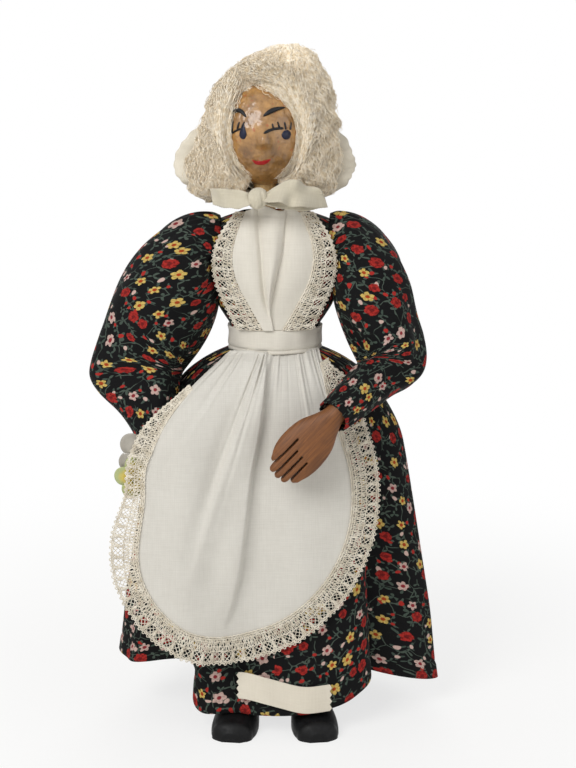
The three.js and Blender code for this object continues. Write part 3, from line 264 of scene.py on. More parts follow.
def merge(skins: Sequence[Skin]) -> Skin:
    """One skin from several.

    Args:
        skins: Skins to put together.

    Returns:
        A skin that holds them all.
    """
    starts = np.cumsum([0] + [len(s.points) for s in skins[:-1]])
    faces = [s.faces + start for s, start in zip(skins, starts)]
    points = np.concatenate([s.points for s in skins])
    return Skin(points, np.concatenate(faces), np.concatenate([s.uv for s in skins]))


def cloth(points: Array, thickness: float, uv: Array, wrap: bool = False, facing: int = 1) -> Skin:
    """A cloth of one thickness behind a grid of points.

    Args:
        points: Rows and columns of points on its face.
        thickness: How thick the cloth is.
        uv: Cloth coordinates of the points in millimetres, with one more column where rows close.
        wrap: Whether each row closes on itself.
        facing: 1 or -1, the side that the face looks to.

    Returns:
        A closed skin.
    """
    rows, columns = points.shape[:2]
    across = np.roll(points, -1, 1) - np.roll(points, 1, 1) if wrap else np.gradient(points, axis=1)
    normal = unit(np.cross(across, np.gradient(points, axis=0))) * facing
    index, back = numbers(rows, columns, wrap), rows * columns
    edges = [(index[0], uv[0]), (index[-1], uv[-1])]
    if not wrap:
        edges += [(index[:, 0], uv[:, 0]), (index[:, -1], uv[:, -1])]
    rims = [np.stack([i[:-1], i[1:], i[1:] + back, i[:-1] + back], -1) for i, _ in edges]
    rim_uv = [np.stack([edge[:-1], edge[1:], edge[1:], edge[:-1]], 1) for _, edge in edges]
    faces, loops = quads(index), quads(uv)
    all_points = np.concatenate([points, points - normal * thickness]).reshape(-1, 3)
    all_faces = np.concatenate([faces, faces[:, ::-1] + back, *rims])
    return Skin(all_points, all_faces, np.concatenate([loops, loops[:, ::-1], *rim_uv]))


def flat_uv(rows: int, columns: int, width: float, length: float) -> Array:
    """Cloth coordinates of an even grid, width across and length down."""
    return np.stack(np.meshgrid(np.linspace(0, width, columns), np.linspace(0, length, rows)), -1)


def surface_cloth(
    surface: Callable[[Array, Array], Array], shape: tuple[int, int], size: Pair, thickness: float,
    facing: int = 1, wrap: bool = False,
) -> Skin:
    """A cloth on a surface.

    Args:
        surface: Gives points from u across and v down, both from 0 to 1.
        shape: Columns and rows of the grid.
        size: Width and length of the flat cloth.
        thickness: How thick the cloth is.
        facing: 1 or -1, the side that the face looks to.
        wrap: Whether u closes on itself.

    Returns:
        A closed skin.
    """
    columns, rows = shape
    u, v = np.meshgrid(np.arange(columns) / (columns - (not wrap)), np.linspace(0, 1, rows))
    return cloth(surface(u, v), thickness, flat_uv(rows, columns + wrap, *size), wrap, facing)


def loft(rings: Array, uv: Array) -> Skin:
    """A closed body through rings of points, drawn together at both ends.

    Args:
        rings: Rows of rings of points.
        uv: Cloth coordinates in millimetres, with one more column than the rings have.

    Returns:
        A closed skin.
    """
    ends = [np.repeat(rings[i].mean(0, keepdims=True), rings.shape[1], 0)[None] for i in (0, -1)]
    points = np.concatenate([ends[0], rings, ends[1]])
    faces = quads(numbers(len(points), rings.shape[1], True))
    return Skin(points.reshape(-1, 3), faces, quads(np.concatenate([uv[:1], uv, uv[-1:]])))


def tubes(paths: Array, radius: Any, sides: int = 4, guide: Sequence[float] = (0, 1, 0)) -> Skin:
    """Round threads along paths of equal count.

    Args:
        paths: One row of points for each thread.
        radius: One number, or one for each point.
        sides: Points round a thread.
        guide: A direction that no thread runs along.

    Returns:
        A skin of all the threads.
    """
    count, steps = paths.shape[:2]
    along = unit(np.gradient(paths, axis=1))
    first = unit(np.cross(along, np.asarray(guide, float)))
    second = np.cross(along, first)
    size = np.broadcast_to(np.asarray(radius, float), (count, steps))[..., None, None]
    angle = (np.arange(sides) * TURN / sides)[:, None]
    points = first[:, :, None] * np.cos(angle) + second[:, :, None] * np.sin(angle)
    points = paths[:, :, None] + points * size
    faces = quads(numbers(steps, sides, True))
    starts = (np.arange(count) * steps * sides)[:, None, None]
    uv = quads(flat_uv(steps, sides + 1, 0.3 * sides, 0.5 * (steps - 1)))
    all_faces = [(faces[None] + starts).reshape(-1, 4)]
    all_uv = [np.tile(uv, (count, 1, 1))]
    if sides == 4:
        for cap in ((0, 1, 2, 3), tuple((steps - 1) * 4 + i for i in (3, 2, 1, 0))):
            all_faces.append(np.array(cap)[None] + starts[:, 0])
            all_uv.append(np.zeros((count, 4, 2)))
    return Skin(points.reshape(-1, 3), np.concatenate(all_faces), np.concatenate(all_uv))


def read_mesh(mesh: bpy.types.Mesh) -> tuple[Array, Array]:
    """Points of a mesh.

    Args:
        mesh: The mesh.

    Returns:
        Points in metres, and the number of the point at each corner of the faces.
    """
    points = np.zeros(len(mesh.vertices) * 3, np.float32)
    mesh.vertices.foreach_get("co", points)
    index = np.zeros(len(mesh.loops), np.int32)
    mesh.loops.foreach_get("vertex_index", index)
    return points.reshape(-1, 3), index


def set_cloth(mesh: bpy.types.Mesh, uv: Array) -> None:
    """Give a mesh its cloth coordinates, in metres."""
    layer = mesh.uv_layers.get("cloth") or mesh.uv_layers.new(name="cloth")
    layer.uv.foreach_set("vector", uv.astype(np.float32).ravel())


# Finishes


def linear(colour: str) -> tuple[float, float, float, float]:
    """Linear colour of an sRGB hex value."""
    parts = [int(colour[i : i + 2], 16) / 255 for i in (1, 3, 5)]
    return (*[p / 12.92 if p <= 0.04045 else ((p + 0.055) / 1.055) ** 2.4 for p in parts], 1.0)


def add(tree: bpy.types.NodeTree, kind: Node, *values: Any, out: int | str = 0, **named: Any) -> Any:
    """Add one node with its settings and links.

    Args:
        tree: The node tree.
        kind: What node it is.
        values: Values or sockets for its inputs, in order.
        out: The output that is given back.
        named: Values or sockets for its inputs, by name.

    Returns:
        One output of the node, if it has any.
    """
    name, *settings = kind.value.split()
    node = tree.nodes.new("ShaderNode" + name)
    for setting in settings:
        setattr(node, *setting.split("="))
    for key, value in [*enumerate(values), *named.items()]:
        if isinstance(value, bpy.types.NodeSocket):
            tree.links.new(value, node.inputs[key])
        else:
            node.inputs[key].default_value = linear(value) if isinstance(value, str) else value
    return node.outputs[out] if len(node.outputs) else None


def per(millimetres: float) -> float:
    """Texture scale whose features are this many millimetres across."""
    return 1 / (millimetres * MM)


def bands(millimetres: float) -> float:
    """Scale of a wave texture whose bands repeat at this many millimetres."""
    return TURN / 20 / (millimetres * MM)


def white_for_eye(new: New) -> Any:
    """1 for rays from the eye, from gloss and through glass.

    Args:
        new: Adds a node.

    Returns:
        The share.
    """
    paths = new(Node.LIGHT_PATH).node.outputs
    share = new(Node.MAXIMUM, paths["Is Camera Ray"], paths["Is Glossy Ray"])
    return new(Node.MAXIMUM, share, paths["Is Transmission Ray"])


@dataclass(frozen=True)
class Finish:
    """A real material and how its surface was made."""

    name: str

    def sockets(self, new: New) -> Inputs:
        """Inputs of the surface shader."""
        raise NotImplementedError

    def shader(self, new: New) -> Any:
        """The shader of the surface."""
        return new(Node.SURFACE, **self.sockets(new))

    def weave(self, new: New, *wave: Any) -> Any:
        """Height of crossing threads, from the wave texture's inputs."""
        return new(Node.ADD, *[new(way, *wave, out=1) for way in (Node.WAVE_X, Node.WAVE_Y)])

    def material(self) -> bpy.types.Material:
        """The material, made once.

        Returns:
            The material with its nodes.
        """
        known = bpy.data.materials.get(self.name)
        if known:
            return known
        material = bpy.data.materials.new(self.name)
        material.use_nodes = True
        material.node_tree.nodes.clear()
        new = partial(add, material.node_tree)
        new(Node.OUTPUT, self.shader(new))
        return material


@dataclass(frozen=True)
class WovenCotton(Finish):
    """Plain-woven cotton: matt, with a soft crossing of threads and a few thicker ones."""

    light: str
    shade: str
    thread_mm: float
    depth: float = 0.25
    sheen: float = 0.15

    def sockets(self, new: New) -> Inputs:
        """Inputs of the surface shader.

        Args:
            new: Adds a node.

        Returns:
            Values and links by name.
        """
        uv = new(Node.CLOTH)
        # The threads are drawn two to three times as coarse as real ones, which wouldn't show.
        weave = self.weave(new, uv, bands(self.thread_mm), 1.5, 2.0, 4.0)
        weave = new(Node.MULTIPLY, weave, 0.4)
        slubs = []
        for stretch in ((per(0.8), per(9), 1), (per(9), per(0.8), 1)):
            slubs.append(new(Node.NOISE, new(Node.MAPPING, uv, Scale=stretch), Scale=1.0, Detail=2.0))
        slub = new(Node.ADD, *slubs)
        height = new(Node.MULTIPLY_ADD, slub, 1.6, weave)
        # Low places get the shade colour: painted shade between the crossing threads; the slubs and soft
        # patches change the tone at random.
        tone = new(Node.RANGE, height, 1.2, 2.9, 0.55, 0.1)
        soft = new(Node.NOISE, uv, Scale=per(22), Detail=3.0)
        tone = new(Node.MULTIPLY_ADD, soft, 0.45, tone)
        colour = new(Node.MIX, tone, self.light, self.shade)
        bump = new(Node.BUMP, Strength=self.depth, Distance=0.15 * MM, Height=height)
        return {"Base Color": colour, "Roughness": 0.85, "IOR": 1.5, "Specular IOR Level": 0.25,
                "Sheen Weight": self.sheen, "Sheen Roughness": 0.5, "Normal": bump}


@dataclass(frozen=True)
class PrintedCalico(Finish):
    """Cotton calico roller-printed on black: small roses, daisies, pale blossoms, buds, leaves and stems."""

    ground: str = "#0c0c0d"
    vine: str = "#4a554c"
    leaf: str = "#3d4a42"
    rose: str = "#a62c26"
    rose_shade: str = "#721b1b"
    daisy: str = "#cdb263"
    daisy_eye: str = "#a8431f"
    blossom: str = "#c7aaa0"
    blossom_eye: str = "#8a2f35"
    flower_gap: float = 10.2
    bud_gap: float = 5.4
    flower: float = 2.75

    def motif(self, new: New, place: Any, gap: float, loose: float, lobes: float) -> tuple[Any, ...]:
        """Scattered places for one motif.

        Args:
            new: Adds a node.
            place: Cloth coordinates in metres.
            gap: Usual distance between places.
            loose: How far the places stray from even rows.
            lobes: Half the number of lobes round a place.

        Returns:
            Distance from the nearest place, 0 to 1 across each lobe, and two random numbers for the place.
        """
        near = new(Node.CELLS, place, Scale=per(gap), Randomness=loose)
        outputs = near.node.outputs
        local = new(Node.VECTOR_SUBTRACT, place, outputs["Position"])
        flat = new(Node.VECTOR_MULTIPLY, local, (1, 1, 0))
        far = new(Node.VECTOR_LENGTH, flat, out="Value")
        parts = new(Node.SPLIT, flat).node.outputs
        chance = new(Node.SPLIT, outputs["Color"]).node.outputs
        angle = new(Node.ARCTAN2, parts[1], parts[0])
        angle = new(Node.MULTIPLY_ADD, chance[0], TURN, angle)
        wave = new(Node.SINE, new(Node.MULTIPLY, angle, lobes))
        return far, new(Node.ABSOLUTE, wave), chance[1], chance[2]

    def sockets(self, new: New) -> Inputs:
        """Inputs of the surface shader.

        Args:
            new: Adds a node.

        Returns:
            Values and links by name.
        """
        soft = 0.22 * MM
        uv = new(Node.CLOTH)
        sway = new(Node.NOISE, uv, Scale=per(7), Detail=1.0, out="Color")
        sway = new(Node.VECTOR_SUBTRACT, sway, (0.5, 0.5, 0.5))
        bent = new(Node.VECTOR_MULTIPLY_ADD, sway, (5 * MM, 5 * MM, 0), uv)

        # Stems run between the flowers in wavering lines, broken here and there.
        edge = new(Node.CELL_EDGES, bent, Scale=per(8.5), Randomness=0.9)
        stem = new(Node.RANGE, edge, 0.012, 0.03, 1.0, 0.0)
        gaps = new(Node.RANGE, new(Node.NOISE, uv, Scale=per(6), Detail=0.0), 0.42, 0.5)
        stem = new(Node.MULTIPLY, stem, gaps)
        colour = new(Node.MIX, stem, self.ground, self.vine)

        # Each small place has a bud with two leaves, or a curl with three leaves.
        far, lobes, kind, pick = self.motif(new, bent, self.bud_gap, 0.8, 1.5)
        lobes = new(Node.POWER, lobes, 3.0)
        reach = new(Node.MULTIPLY_ADD, lobes, 2.2 * MM, 0.2 * MM)
        leaf = new(Node.RANGE, new(Node.SUBTRACT, reach, far), 0.0, soft)
        colour = new(Node.MIX, leaf, colour, new(Node.MIX, pick, self.leaf, self.vine))
        bud = new(Node.RANGE, far, 1.05 * MM, 1.05 * MM - soft)
        bud = new(Node.MULTIPLY, bud, new(Node.GREATER_THAN, kind, 0.6))
        bud_tone = new(Node.MIX, new(Node.LESS_THAN, pick, 0.3), self.rose, self.blossom)
        colour = new(Node.MIX, bud, colour, bud_tone)

        # Open flowers: five petals with a notch between them, and an eye.
        far, petals, kind, pick = self.motif(new, uv, self.flower_gap, 0.62, 2.5)
        is_daisy = new(Node.GREATER_THAN, kind, 0.36)
        is_blossom = new(Node.GREATER_THAN, kind, 0.76)
        notch = new(Node.MULTIPLY_ADD, is_daisy, 0.28, 0.08)
        cut = new(Node.MULTIPLY, new(Node.SUBTRACT, 1.0, petals), notch)
        grow = new(Node.MULTIPLY_ADD, pick, 0.3, 0.82)
        rim = new(Node.MULTIPLY, new(Node.SUBTRACT, grow, cut), self.flower * MM)
        ragged = new(Node.NOISE, uv, Scale=per(1.5), Detail=1.0)
        ragged = new(Node.RANGE, ragged, 0.0, 1.0, -0.8 * MM, 0.8 * MM)
        inside = new(Node.ADD, new(Node.SUBTRACT, rim, far), ragged)
        flower = new(Node.RANGE, inside, 0.0, soft)
        folds = new(Node.NOISE, uv, Scale=per(1.1), Detail=1.0)
        folds = new(Node.RANGE, folds, 0.42, 0.68, 0.0, 0.8)
        tone = new(Node.MIX, folds, self.rose, self.rose_shade)
        shaded = new(Node.MIX, new(Node.LESS_THAN, petals, 0.35), self.daisy, self.daisy_eye)
        tone = new(Node.MIX, is_daisy, tone, new(Node.MIX, 0.35, self.daisy, shaded))
        tone = new(Node.MIX, is_blossom, tone, self.blossom)
        eye_tone = new(Node.MIX, is_daisy, self.rose_shade, self.daisy_eye)
        eye_tone = new(Node.MIX, is_blossom, eye_tone, self.blossom_eye)
        eye = new(Node.RANGE, far, 1.05 * MM, 0.75 * MM)
        tone = new(Node.MIX, eye, tone, eye_tone)
        tone = new(Node.DARKEN, 1.0, tone, new(Node.RANGE, folds, 0.0, 0.8, 1.0, 0.72))
        colour = new(Node.MIX, flower, colour, tone)

        # Real calico has about 25 threads to the centimetre; these are twice as coarse so that they show.
        weave = self.weave(new, uv, bands(0.8), 1.0)
        # Low places of the weave are darkened: painted shade between the threads.
        colour = new(Node.DARKEN, 1.0, colour, new(Node.RANGE, weave, 0.0, 2.0, 0.82, 1.0))
        bump = new(Node.BUMP, Strength=0.2, Distance=0.12 * MM, Height=weave)
        return {"Base Color": colour, "Roughness": 0.8, "IOR": 1.5, "Specular IOR Level": 0.12,
                "Sheen Weight": 0.02, "Sheen Roughness": 0.5, "Normal": bump}


@dataclass(frozen=True)
class SpunThread(Finish):
    """Twisted cotton or mohair fibre: matt, a little uneven in tone, with fine ridges round it."""

    light: str
    shade: str
    patch_mm: float
    roughness: float
    sheen: float
    shine: float = 0.3

    def sockets(self, new: New) -> Inputs:
        """Inputs of the surface shader.

        Args:
            new: Adds a node.

        Returns:
            Values and links by name.
        """
        place = new(Node.COORDS, out="Object")
        patch = new(Node.NOISE, place, Scale=per(self.patch_mm), Detail=4.0)
        patch = new(Node.RANGE, patch, 0.35, 0.65)
        fine = new(Node.NOISE, place, Scale=per(0.4), Detail=2.0)
        bump = new(Node.BUMP, Strength=0.35, Distance=0.1 * MM, Height=fine)
        return {"Base Color": new(Node.MIX, patch, self.light, self.shade), "Roughness": self.roughness,
                "IOR": 1.54, "Specular IOR Level": self.shine, "Sheen Weight": self.sheen,
                "Sheen Roughness": 0.4, "Normal": bump}


@dataclass(frozen=True)
class LacqueredShell(Finish):
    """Nut shell under brushed clear lacquer: golden brown, darker in its furrows, with a wet gloss."""

    light: str = "#b3854a"
    shade: str = "#755229"
    fleck: str = "#a3562a"

    def sockets(self, new: New) -> Inputs:
        """Inputs of the surface shader.

        Args:
            new: Adds a node.

        Returns:
            Values and links by name.
        """
        place = new(Node.COORDS, out="Object")
        broad = new(Node.NOISE, place, Scale=per(9), Detail=4.0, Roughness=0.6)
        tone = new(Node.RANGE, broad, 0.38, 0.66)
        colour = new(Node.MIX, tone, self.light, self.shade)
        fine = new(Node.NOISE, place, Scale=per(1.6), Detail=3.0)
        veins = new(Node.RANGE, fine, 0.56, 0.7, 0.0, 0.5)
        colour = new(Node.MIX, veins, colour, self.shade)
        flecks = new(Node.NOISE, place, Scale=per(2.4), Detail=1.0)
        flecks = new(Node.RANGE, flecks, 0.67, 0.73, 0.0, 0.7)
        colour = new(Node.MIX, flecks, colour, self.fleck)
        bump = new(Node.BUMP, Strength=0.3, Distance=0.3 * MM, Height=fine)
        return {"Base Color": colour, "Roughness": 0.42, "IOR": 1.5, "Coat Weight": 0.7,
                "Coat Roughness": 0.14, "Normal": bump}


@dataclass(frozen=True)
class BrushPaint(Finish):
    """Paint laid by brush over wood or shell: even colour with faint strokes, satin or glossy."""

    colour: str
    scuff: str
    roughness: float
    coat: float
    shine: float = 0.25

    def sockets(self, new: New) -> Inputs:
        """Inputs of the surface shader.

        Args:
            new: Adds a node.

        Returns:
            Values and links by name.
        """
        place = new(Node.COORDS, out="Object")
        strokes = new(Node.MAPPING, place, Scale=(per(1.4), per(7), per(1.8)))
        strokes = new(Node.NOISE, strokes, Scale=1.0, Detail=4.0)
        worn = new(Node.NOISE, place, Scale=per(5), Detail=6.0, Roughness=0.7)
        worn = new(Node.RANGE, worn, 0.55, 0.72, 0.0, 0.6)
        rough = new(Node.RANGE, strokes, 0.3, 0.7, self.roughness - 0.08, self.roughness + 0.1)
        bump = new(Node.BUMP, Strength=0.25, Distance=0.2 * MM, Height=strokes)
        return {"Base Color": new(Node.MIX, worn, self.colour, self.scuff), "Roughness": rough, "IOR": 1.5,
                "Specular IOR Level": self.shine, "Coat Weight": self.coat, "Coat Roughness": 0.12,
                "Normal": bump}


@dataclass(frozen=True)
class CutWood(Finish):
    """Wood cut by knife: long grain with darker lines, and a low shine where it was oiled."""

    light: str
    shade: str
    roughness: float
    coat: float
    grain_mm: float = 1.3

    def sockets(self, new: New) -> Inputs:
        """Inputs of the surface shader.

        Args:
            new: Adds a node.

        Returns:
            Values and links by name.
        """
        uv = new(Node.CLOTH)
        long = new(Node.MAPPING, uv, Scale=(per(self.grain_mm), per(self.grain_mm * 16), 1))
        grain = new(Node.NOISE, long, Scale=1.0, Detail=5.0, Roughness=0.6, Distortion=0.4)
        cuts = new(Node.NOISE, uv, Scale=per(3.2), Detail=2.0, Distortion=1.5)
        tone = new(Node.RANGE, grain, 0.28, 0.78)
        tone = new(Node.MULTIPLY_ADD, cuts, 0.25, tone)
        bump = new(Node.BUMP, Strength=0.35, Distance=0.2 * MM, Height=new(Node.ADD, grain, cuts))
        return {"Base Color": new(Node.MIX, tone, self.light, self.shade), "Roughness": self.roughness,
                "IOR": 1.5, "Coat Weight": self.coat, "Coat Roughness": 0.3, "Normal": bump}


@dataclass(frozen=True)
class DrawnWire(Finish):
    """Steel wire pulled through a die: bright, with fine lines along it."""

    colour: str = "#8d8f92"

    def sockets(self, new: New) -> Inputs:
        """Inputs of the surface shader.

        Args:
            new: Adds a node.

        Returns:
            Values and links by name.
        """
        place = new(Node.COORDS, out="Object")
        long = new(Node.MAPPING, place, Scale=(per(12), per(0.3), per(0.3)))
        lines = new(Node.NOISE, long, Scale=1.0, Detail=3.0)
        return {"Base Color": new(Node.MIX, lines, self.colour, "#6f7276"), "Metallic": 1.0,
                "Roughness": new(Node.RANGE, lines, 0.3, 0.7, 0.25, 0.45)}


@dataclass(frozen=True)
class GlazedPetal(Finish):
    """Moulded petal with a smooth glaze: pale in the middle, with another colour along its edge."""

    middle: str
    edge: str

    def sockets(self, new: New) -> Inputs:
        """Inputs of the surface shader.

        Args:
            new: Adds a node.

        Returns:
            Values and links by name.
        """
        uv = new(Node.CLOTH)
        out = new(Node.SPLIT, uv).node.outputs[1]
        mottle = new(Node.NOISE, new(Node.COORDS, out="Object"), Scale=per(2.5), Detail=3.0)
        out = new(Node.MULTIPLY_ADD, mottle, 2.2 * MM, out)
        share = new(Node.RANGE, out, 7 * MM, 9.5 * MM)
        bump = new(Node.BUMP, Strength=0.15, Distance=0.2 * MM, Height=mottle)
        return {"Base Color": new(Node.MIX, share, self.middle, self.edge), "Roughness": 0.35, "IOR": 1.5,
                "Coat Weight": 0.5, "Coat Roughness": 0.15, "Normal": bump}


@dataclass(frozen=True)
class PaperFloor(Finish):
    """Pale paper: a soft shadow near what stands on it, and plain white farther off."""

    light: str = "#f4f3f0"
    shade: str = "#efeeea"

    def shader(self, new: New) -> Any:
        """The paper, and the white that the eye sees in its place.

        Args:
            new: Adds a node.

        Returns:
            The shader.
        """
        place = new(Node.COORDS, out="Object")
        fibre = new(Node.NOISE, place, Scale=per(3), Detail=3.0)
        paper = new(Node.SURFACE, new(Node.MIX, fibre, self.light, self.shade), Roughness=0.9)
        far = new(Node.VECTOR_LENGTH, place, out="Value")
        plain = new(Node.SOFT_RANGE, far, 0.08, 0.42, 0.72, 1.0)
        share = new(Node.MULTIPLY, white_for_eye(new), plain)
        return new(Node.MIX_SHADER, share, paper, new(Node.EMIT, "#ffffff", 1.0))


CALICO = PrintedCalico("printed_calico")
VOILE = WovenCotton("cotton_voile", "#dddad2", "#c4c0b7", 0.85, 0.2)
BAND_COTTON = WovenCotton("pressed_cotton_lawn", "#e2ddd2", "#cbc5b8", 0.7, 0.15)
BONNET_COTTON = WovenCotton("bleached_cotton_lawn", "#e6dfd0", "#d0c7b4", 0.8, 0.2)
TAG_COTTON = WovenCotton("pinked_cotton_tape", "#e6dfd0", "#d3cab8", 0.7, 0.2)
RIBBON_SATIN = WovenCotton("rayon_satin_ribbon", "#d6cfbc", "#b5ac96", 0.5, 0.12, 0.4)
LACE_COTTON = SpunThread("machine_lace_cotton", "#ece5d6", "#d3c9b6", 3, 0.8, 0.1)
STITCH_COTTON = SpunThread("sewing_cotton", "#f4eee0", "#ded4c0", 2, 0.7, 0.1)
MOHAIR = SpunThread("spun_mohair", "#fff5e3", "#e9d6b4", 1.6, 0.3, 0.4, 0.6)
ARM_COTTON = SpunThread("wound_cotton_strip", "#e6dccb", "#cfc2ab", 3, 0.9, 0.1)
STEM_WRAP = SpunThread("paper_wrapped_stem", "#6f8f4c", "#546f39", 2, 0.7, 0.05)
SHELL = LacqueredShell("lacquered_walnut_shell")
BLACK_PAINT = BrushPaint("glossy_black_relief_paint", "#0c0d12", "#171a24", 0.4, 0.12)
NAVY_PAINT = BrushPaint("glossy_navy_relief_paint", "#11162e", "#1d2442", 0.4, 0.15)
RED_PAINT = BrushPaint("brushed_red_enamel", "#a81b1f", "#811216", 0.4, 0.2)
SHOE_PAINT = BrushPaint("satin_black_enamel", "#0b0b0c", "#18181a", 0.55, 0.0, 0.2)
HAND_WOOD = CutWood("oiled_carved_cedar", "#8a5424", "#532f12", 0.6, 0.0, 0.8)
SOFTWOOD = CutWood("whittled_softwood", "#cfae7c", "#b08c58", 0.7, 0.0)
WIRE = DrawnWire("drawn_steel_wire")
# The white petal's grey middle and darker grey edge are painted shade over a white glaze.
PETAL_WHITE_SHADED = GlazedPetal("petal_white_painted_shade", "#b7b1a6", "#9b958a")
YELLOW_PETAL = GlazedPetal("glazed_yellow_petal", "#cfb94e", "#a5ad74")
FLOOR_PAPER = PaperFloor("pale_paper_floor")


# Putting pieces into the frame


class Workshop:
    """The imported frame, and what puts finished pieces into it."""

    SHOULDER = (34.0, 0.0, 234.0)

    def __init__(self) -> None:
        """Load the frame, keep its box and find the body's axis in it."""
        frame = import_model()
        self.nodes: dict[str, Thing] = frame["nodes"]
        self.cad_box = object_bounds()
        joint = next(j for j in frame["joints"] if j["name"] == "left_shoulder")
        self.axis = np.array(joint["pos_m"]) / MM - np.array(self.SHOULDER)

    def point(self, place: Sequence[float]) -> tuple[float, ...]:
        """A place about the body's axis, in metres in the frame."""
        return tuple((np.asarray(place, float) + self.axis) * MM)

    def make(self, name: str, skin: Skin, finish: Finish, weld: bool = True) -> Thing:
        """Make an object from a skin.

        Args:
            name: The piece's name.
            skin: Its points and faces, in millimetres.
            finish: Its finish.
            weld: Whether points that meet become one and faces are turned to look outward.

        Returns:
            The object, in metres in the frame.
        """
        mesh = bpy.data.meshes.new(name)
        count, sides = skin.faces.shape
        mesh.vertices.add(len(skin.points))
        mesh.vertices.foreach_set("co", ((skin.points + self.axis) * MM).astype(np.float32).ravel())
        mesh.loops.add(count * sides)
        mesh.loops.foreach_set("vertex_index", skin.faces.astype(np.int32).ravel())
        mesh.polygons.add(count)
        mesh.polygons.foreach_set("loop_start", np.arange(0, count * sides, sides, dtype=np.int32))
        set_cloth(mesh, skin.uv * MM)
        mesh.update(calc_edges=True)
        if weld:
            work = bmesh.new()
            work.from_mesh(mesh)
            bmesh.ops.remove_doubles(work, verts=work.verts, dist=0.002 * MM)
            bmesh.ops.recalc_face_normals(work, faces=work.faces)
            work.to_mesh(mesh)
            work.free()
        mesh.shade_smooth()
        mesh.materials.append(finish.material())
        piece = bpy.data.objects.new(name, mesh)
        bpy.context.scene.collection.objects.link(piece)
        LOG.info("%s: %d faces, %s", name, len(mesh.polygons), finish.name)
        return piece

    def settle(self, piece: Thing, body: str, slot: str, *nodes: str) -> Thing:
        """Let a piece ride on a body in place of some nodes.

        Args:
            piece: The object.
            body: The body that carries it.
            slot: The record's material slot; not used.
            nodes: Nodes that it stands for.

        Returns:
            The object.
        """
        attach(piece, body)
        if nodes:
            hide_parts(*nodes)
        return piece

    def piece(self, name: str, skin: Skin, finish: Finish, *place: str, weld: bool = True) -> Thing:
        """Make a piece and settle it; place is its body, its slot and the nodes that it stands for."""
        return self.settle(self.make(name, skin, finish, weld), *place)

    def dress(self, node: str, finish: Finish) -> None:
        """Give a node that stays its finish.

        Args:
            node: The node's name.
            finish: Its finish.
        """
        mesh = self.nodes[node].data
        if "cloth" not in mesh.uv_layers:
            points, index = read_mesh(mesh)
            set_cloth(mesh, points[index][:, [0, 2]])
        mesh.materials.clear()
        mesh.materials.append(finish.material())
        LOG.info("%s: kept node, %s", node, finish.name)


@dataclass
class Made:
    """Something that is made in the workshop."""

    shop: Workshop

    def build(self) -> None:
        """Make it."""
        raise NotImplementedError


# Dress


@dataclass
class Skirt(Made):
    """The gathered calico skirt."""

    waist: float = 180.0
    waist_half_width: float = 19.5
    waist_half_depth: float = 17.0
    hem: float = 10.5
    lift: float = 7.0
    half_width: float = 78.0
    front: float = 40.0
    back: float = 46.0
    gather_drop: float = 10.5
    thickness: float = 0.7
    flat: Pair = (425.0, 166.0)
    arches: tuple[Point, ...] = ((-86, 15, 28), (-50, 15, 16), (-28, -3, 7), (48, 14, 21))
    valleys: tuple[Point, ...] = (
        (-48, 17, 13), (-13, 2.5, 5), (57, 22, 14), (112, 9, 14), (158, 11, 14), (204, 10, 14), (252, 9, 14),
    )
    swells: tuple[Point, ...] = ((86, 5, 38), (-92, 3.5, 24))

    def bumps(self, angle: Array, rows: Sequence[Point]) -> Array:
        """Sum of bells round the skirt, from rows of direction, height and spread in degrees."""
        return sum(high * bell(around(angle, way), math.radians(wide)) for way, high, wide in rows)

    def flare(self, z: Array) -> Array:
        """How far the skirt has opened at a height, 0 at the waist and 1 at the lowest hem."""
        drop = np.maximum(0, self.waist - z)
        return 0.5 * (1 - np.exp(-drop / self.gather_drop)) + 0.5 * drop / (self.waist - self.hem)

    def width_at(self, z: Array) -> Array:
        """Half-width at a height."""
        return mix(self.waist_half_width, self.half_width, self.flare(z))

    def front_at(self, z: Array) -> Array:
        """Depth to the front at a height."""
        return mix(self.waist_half_depth, self.front, self.flare(z))

    def back_at(self, z: Array) -> Array:
        """Depth to the back at a height."""
        return mix(self.waist_half_depth, self.back, self.flare(z))

    def surface(self, u: Array, v: Array) -> Array:
        """Points of the skirt's face.

        Args:
            u: Share of the way round from the front.
            v: Share of the way from waist to hem.

        Returns:
            The points.
        """
        angle = u * TURN
        low = self.hem + self.lift * (0.5 - 0.5 * np.cos(angle))
        low = low + self.bumps(angle, self.arches)
        z = mix(self.waist - 0.3, low, v)
        depth = np.where(np.cos(angle) > 0, self.front_at(z), self.back_at(z))
        x, y = self.width_at(z) * np.sin(angle), -depth * np.cos(angle)
        radius = np.hypot(x, y)
        inset = self.bumps(angle, self.valleys) * v**0.9
        quiet = 1 - 0.8 * bell(around(angle, 5), math.radians(28)) * ramp(v, 0.7, 0.9)
        small = 0.9 * np.cos(11 * angle + 1.3) + 0.55 * np.cos(19 * angle + 0.4)
        small = small + 0.35 * np.cos(31 * angle + 2.2)
        inset = inset + (small + 0.9) * 0.8 * v**0.8 * quiet
        pleats = 0.5 + 0.5 * np.cos(64 * angle + 1.5 * np.sin(5 * angle))
        inset = inset + 1.3 * pleats * np.exp(-(self.waist - z) / 16) * ramp(v, 0, 0.01)
        swell = self.bumps(angle, self.swells) * ramp(self.waist - z, 12, 45)
        inset = inset - swell * (1 - 0.35 * ramp(v, 0.75, 1))
        hem_fold = 0.35 * ramp(v, 0.955, 0.962) - 0.25 * bell(v - 0.952, 0.004)
        kept = 1 - (inset - hem_fold) / radius
        return np.stack([x * kept, y * kept, z], -1)

    def build(self) -> None:
        """Make the skirt."""
        rows = np.linspace(0, 1, 120) ** 1.5
        u, v = np.meshgrid(np.arange(640) / 640, rows)
        uv = flat_uv(len(rows), 641, *self.flat)
        uv[..., 1] = (rows * self.flat[1])[:, None]
        skin = cloth(self.surface(u, v), self.thickness, uv, True)
        piece = self.shop.piece("dress_skirt_cloth", skin, CALICO, "torso", "calico", "dress_skirt")


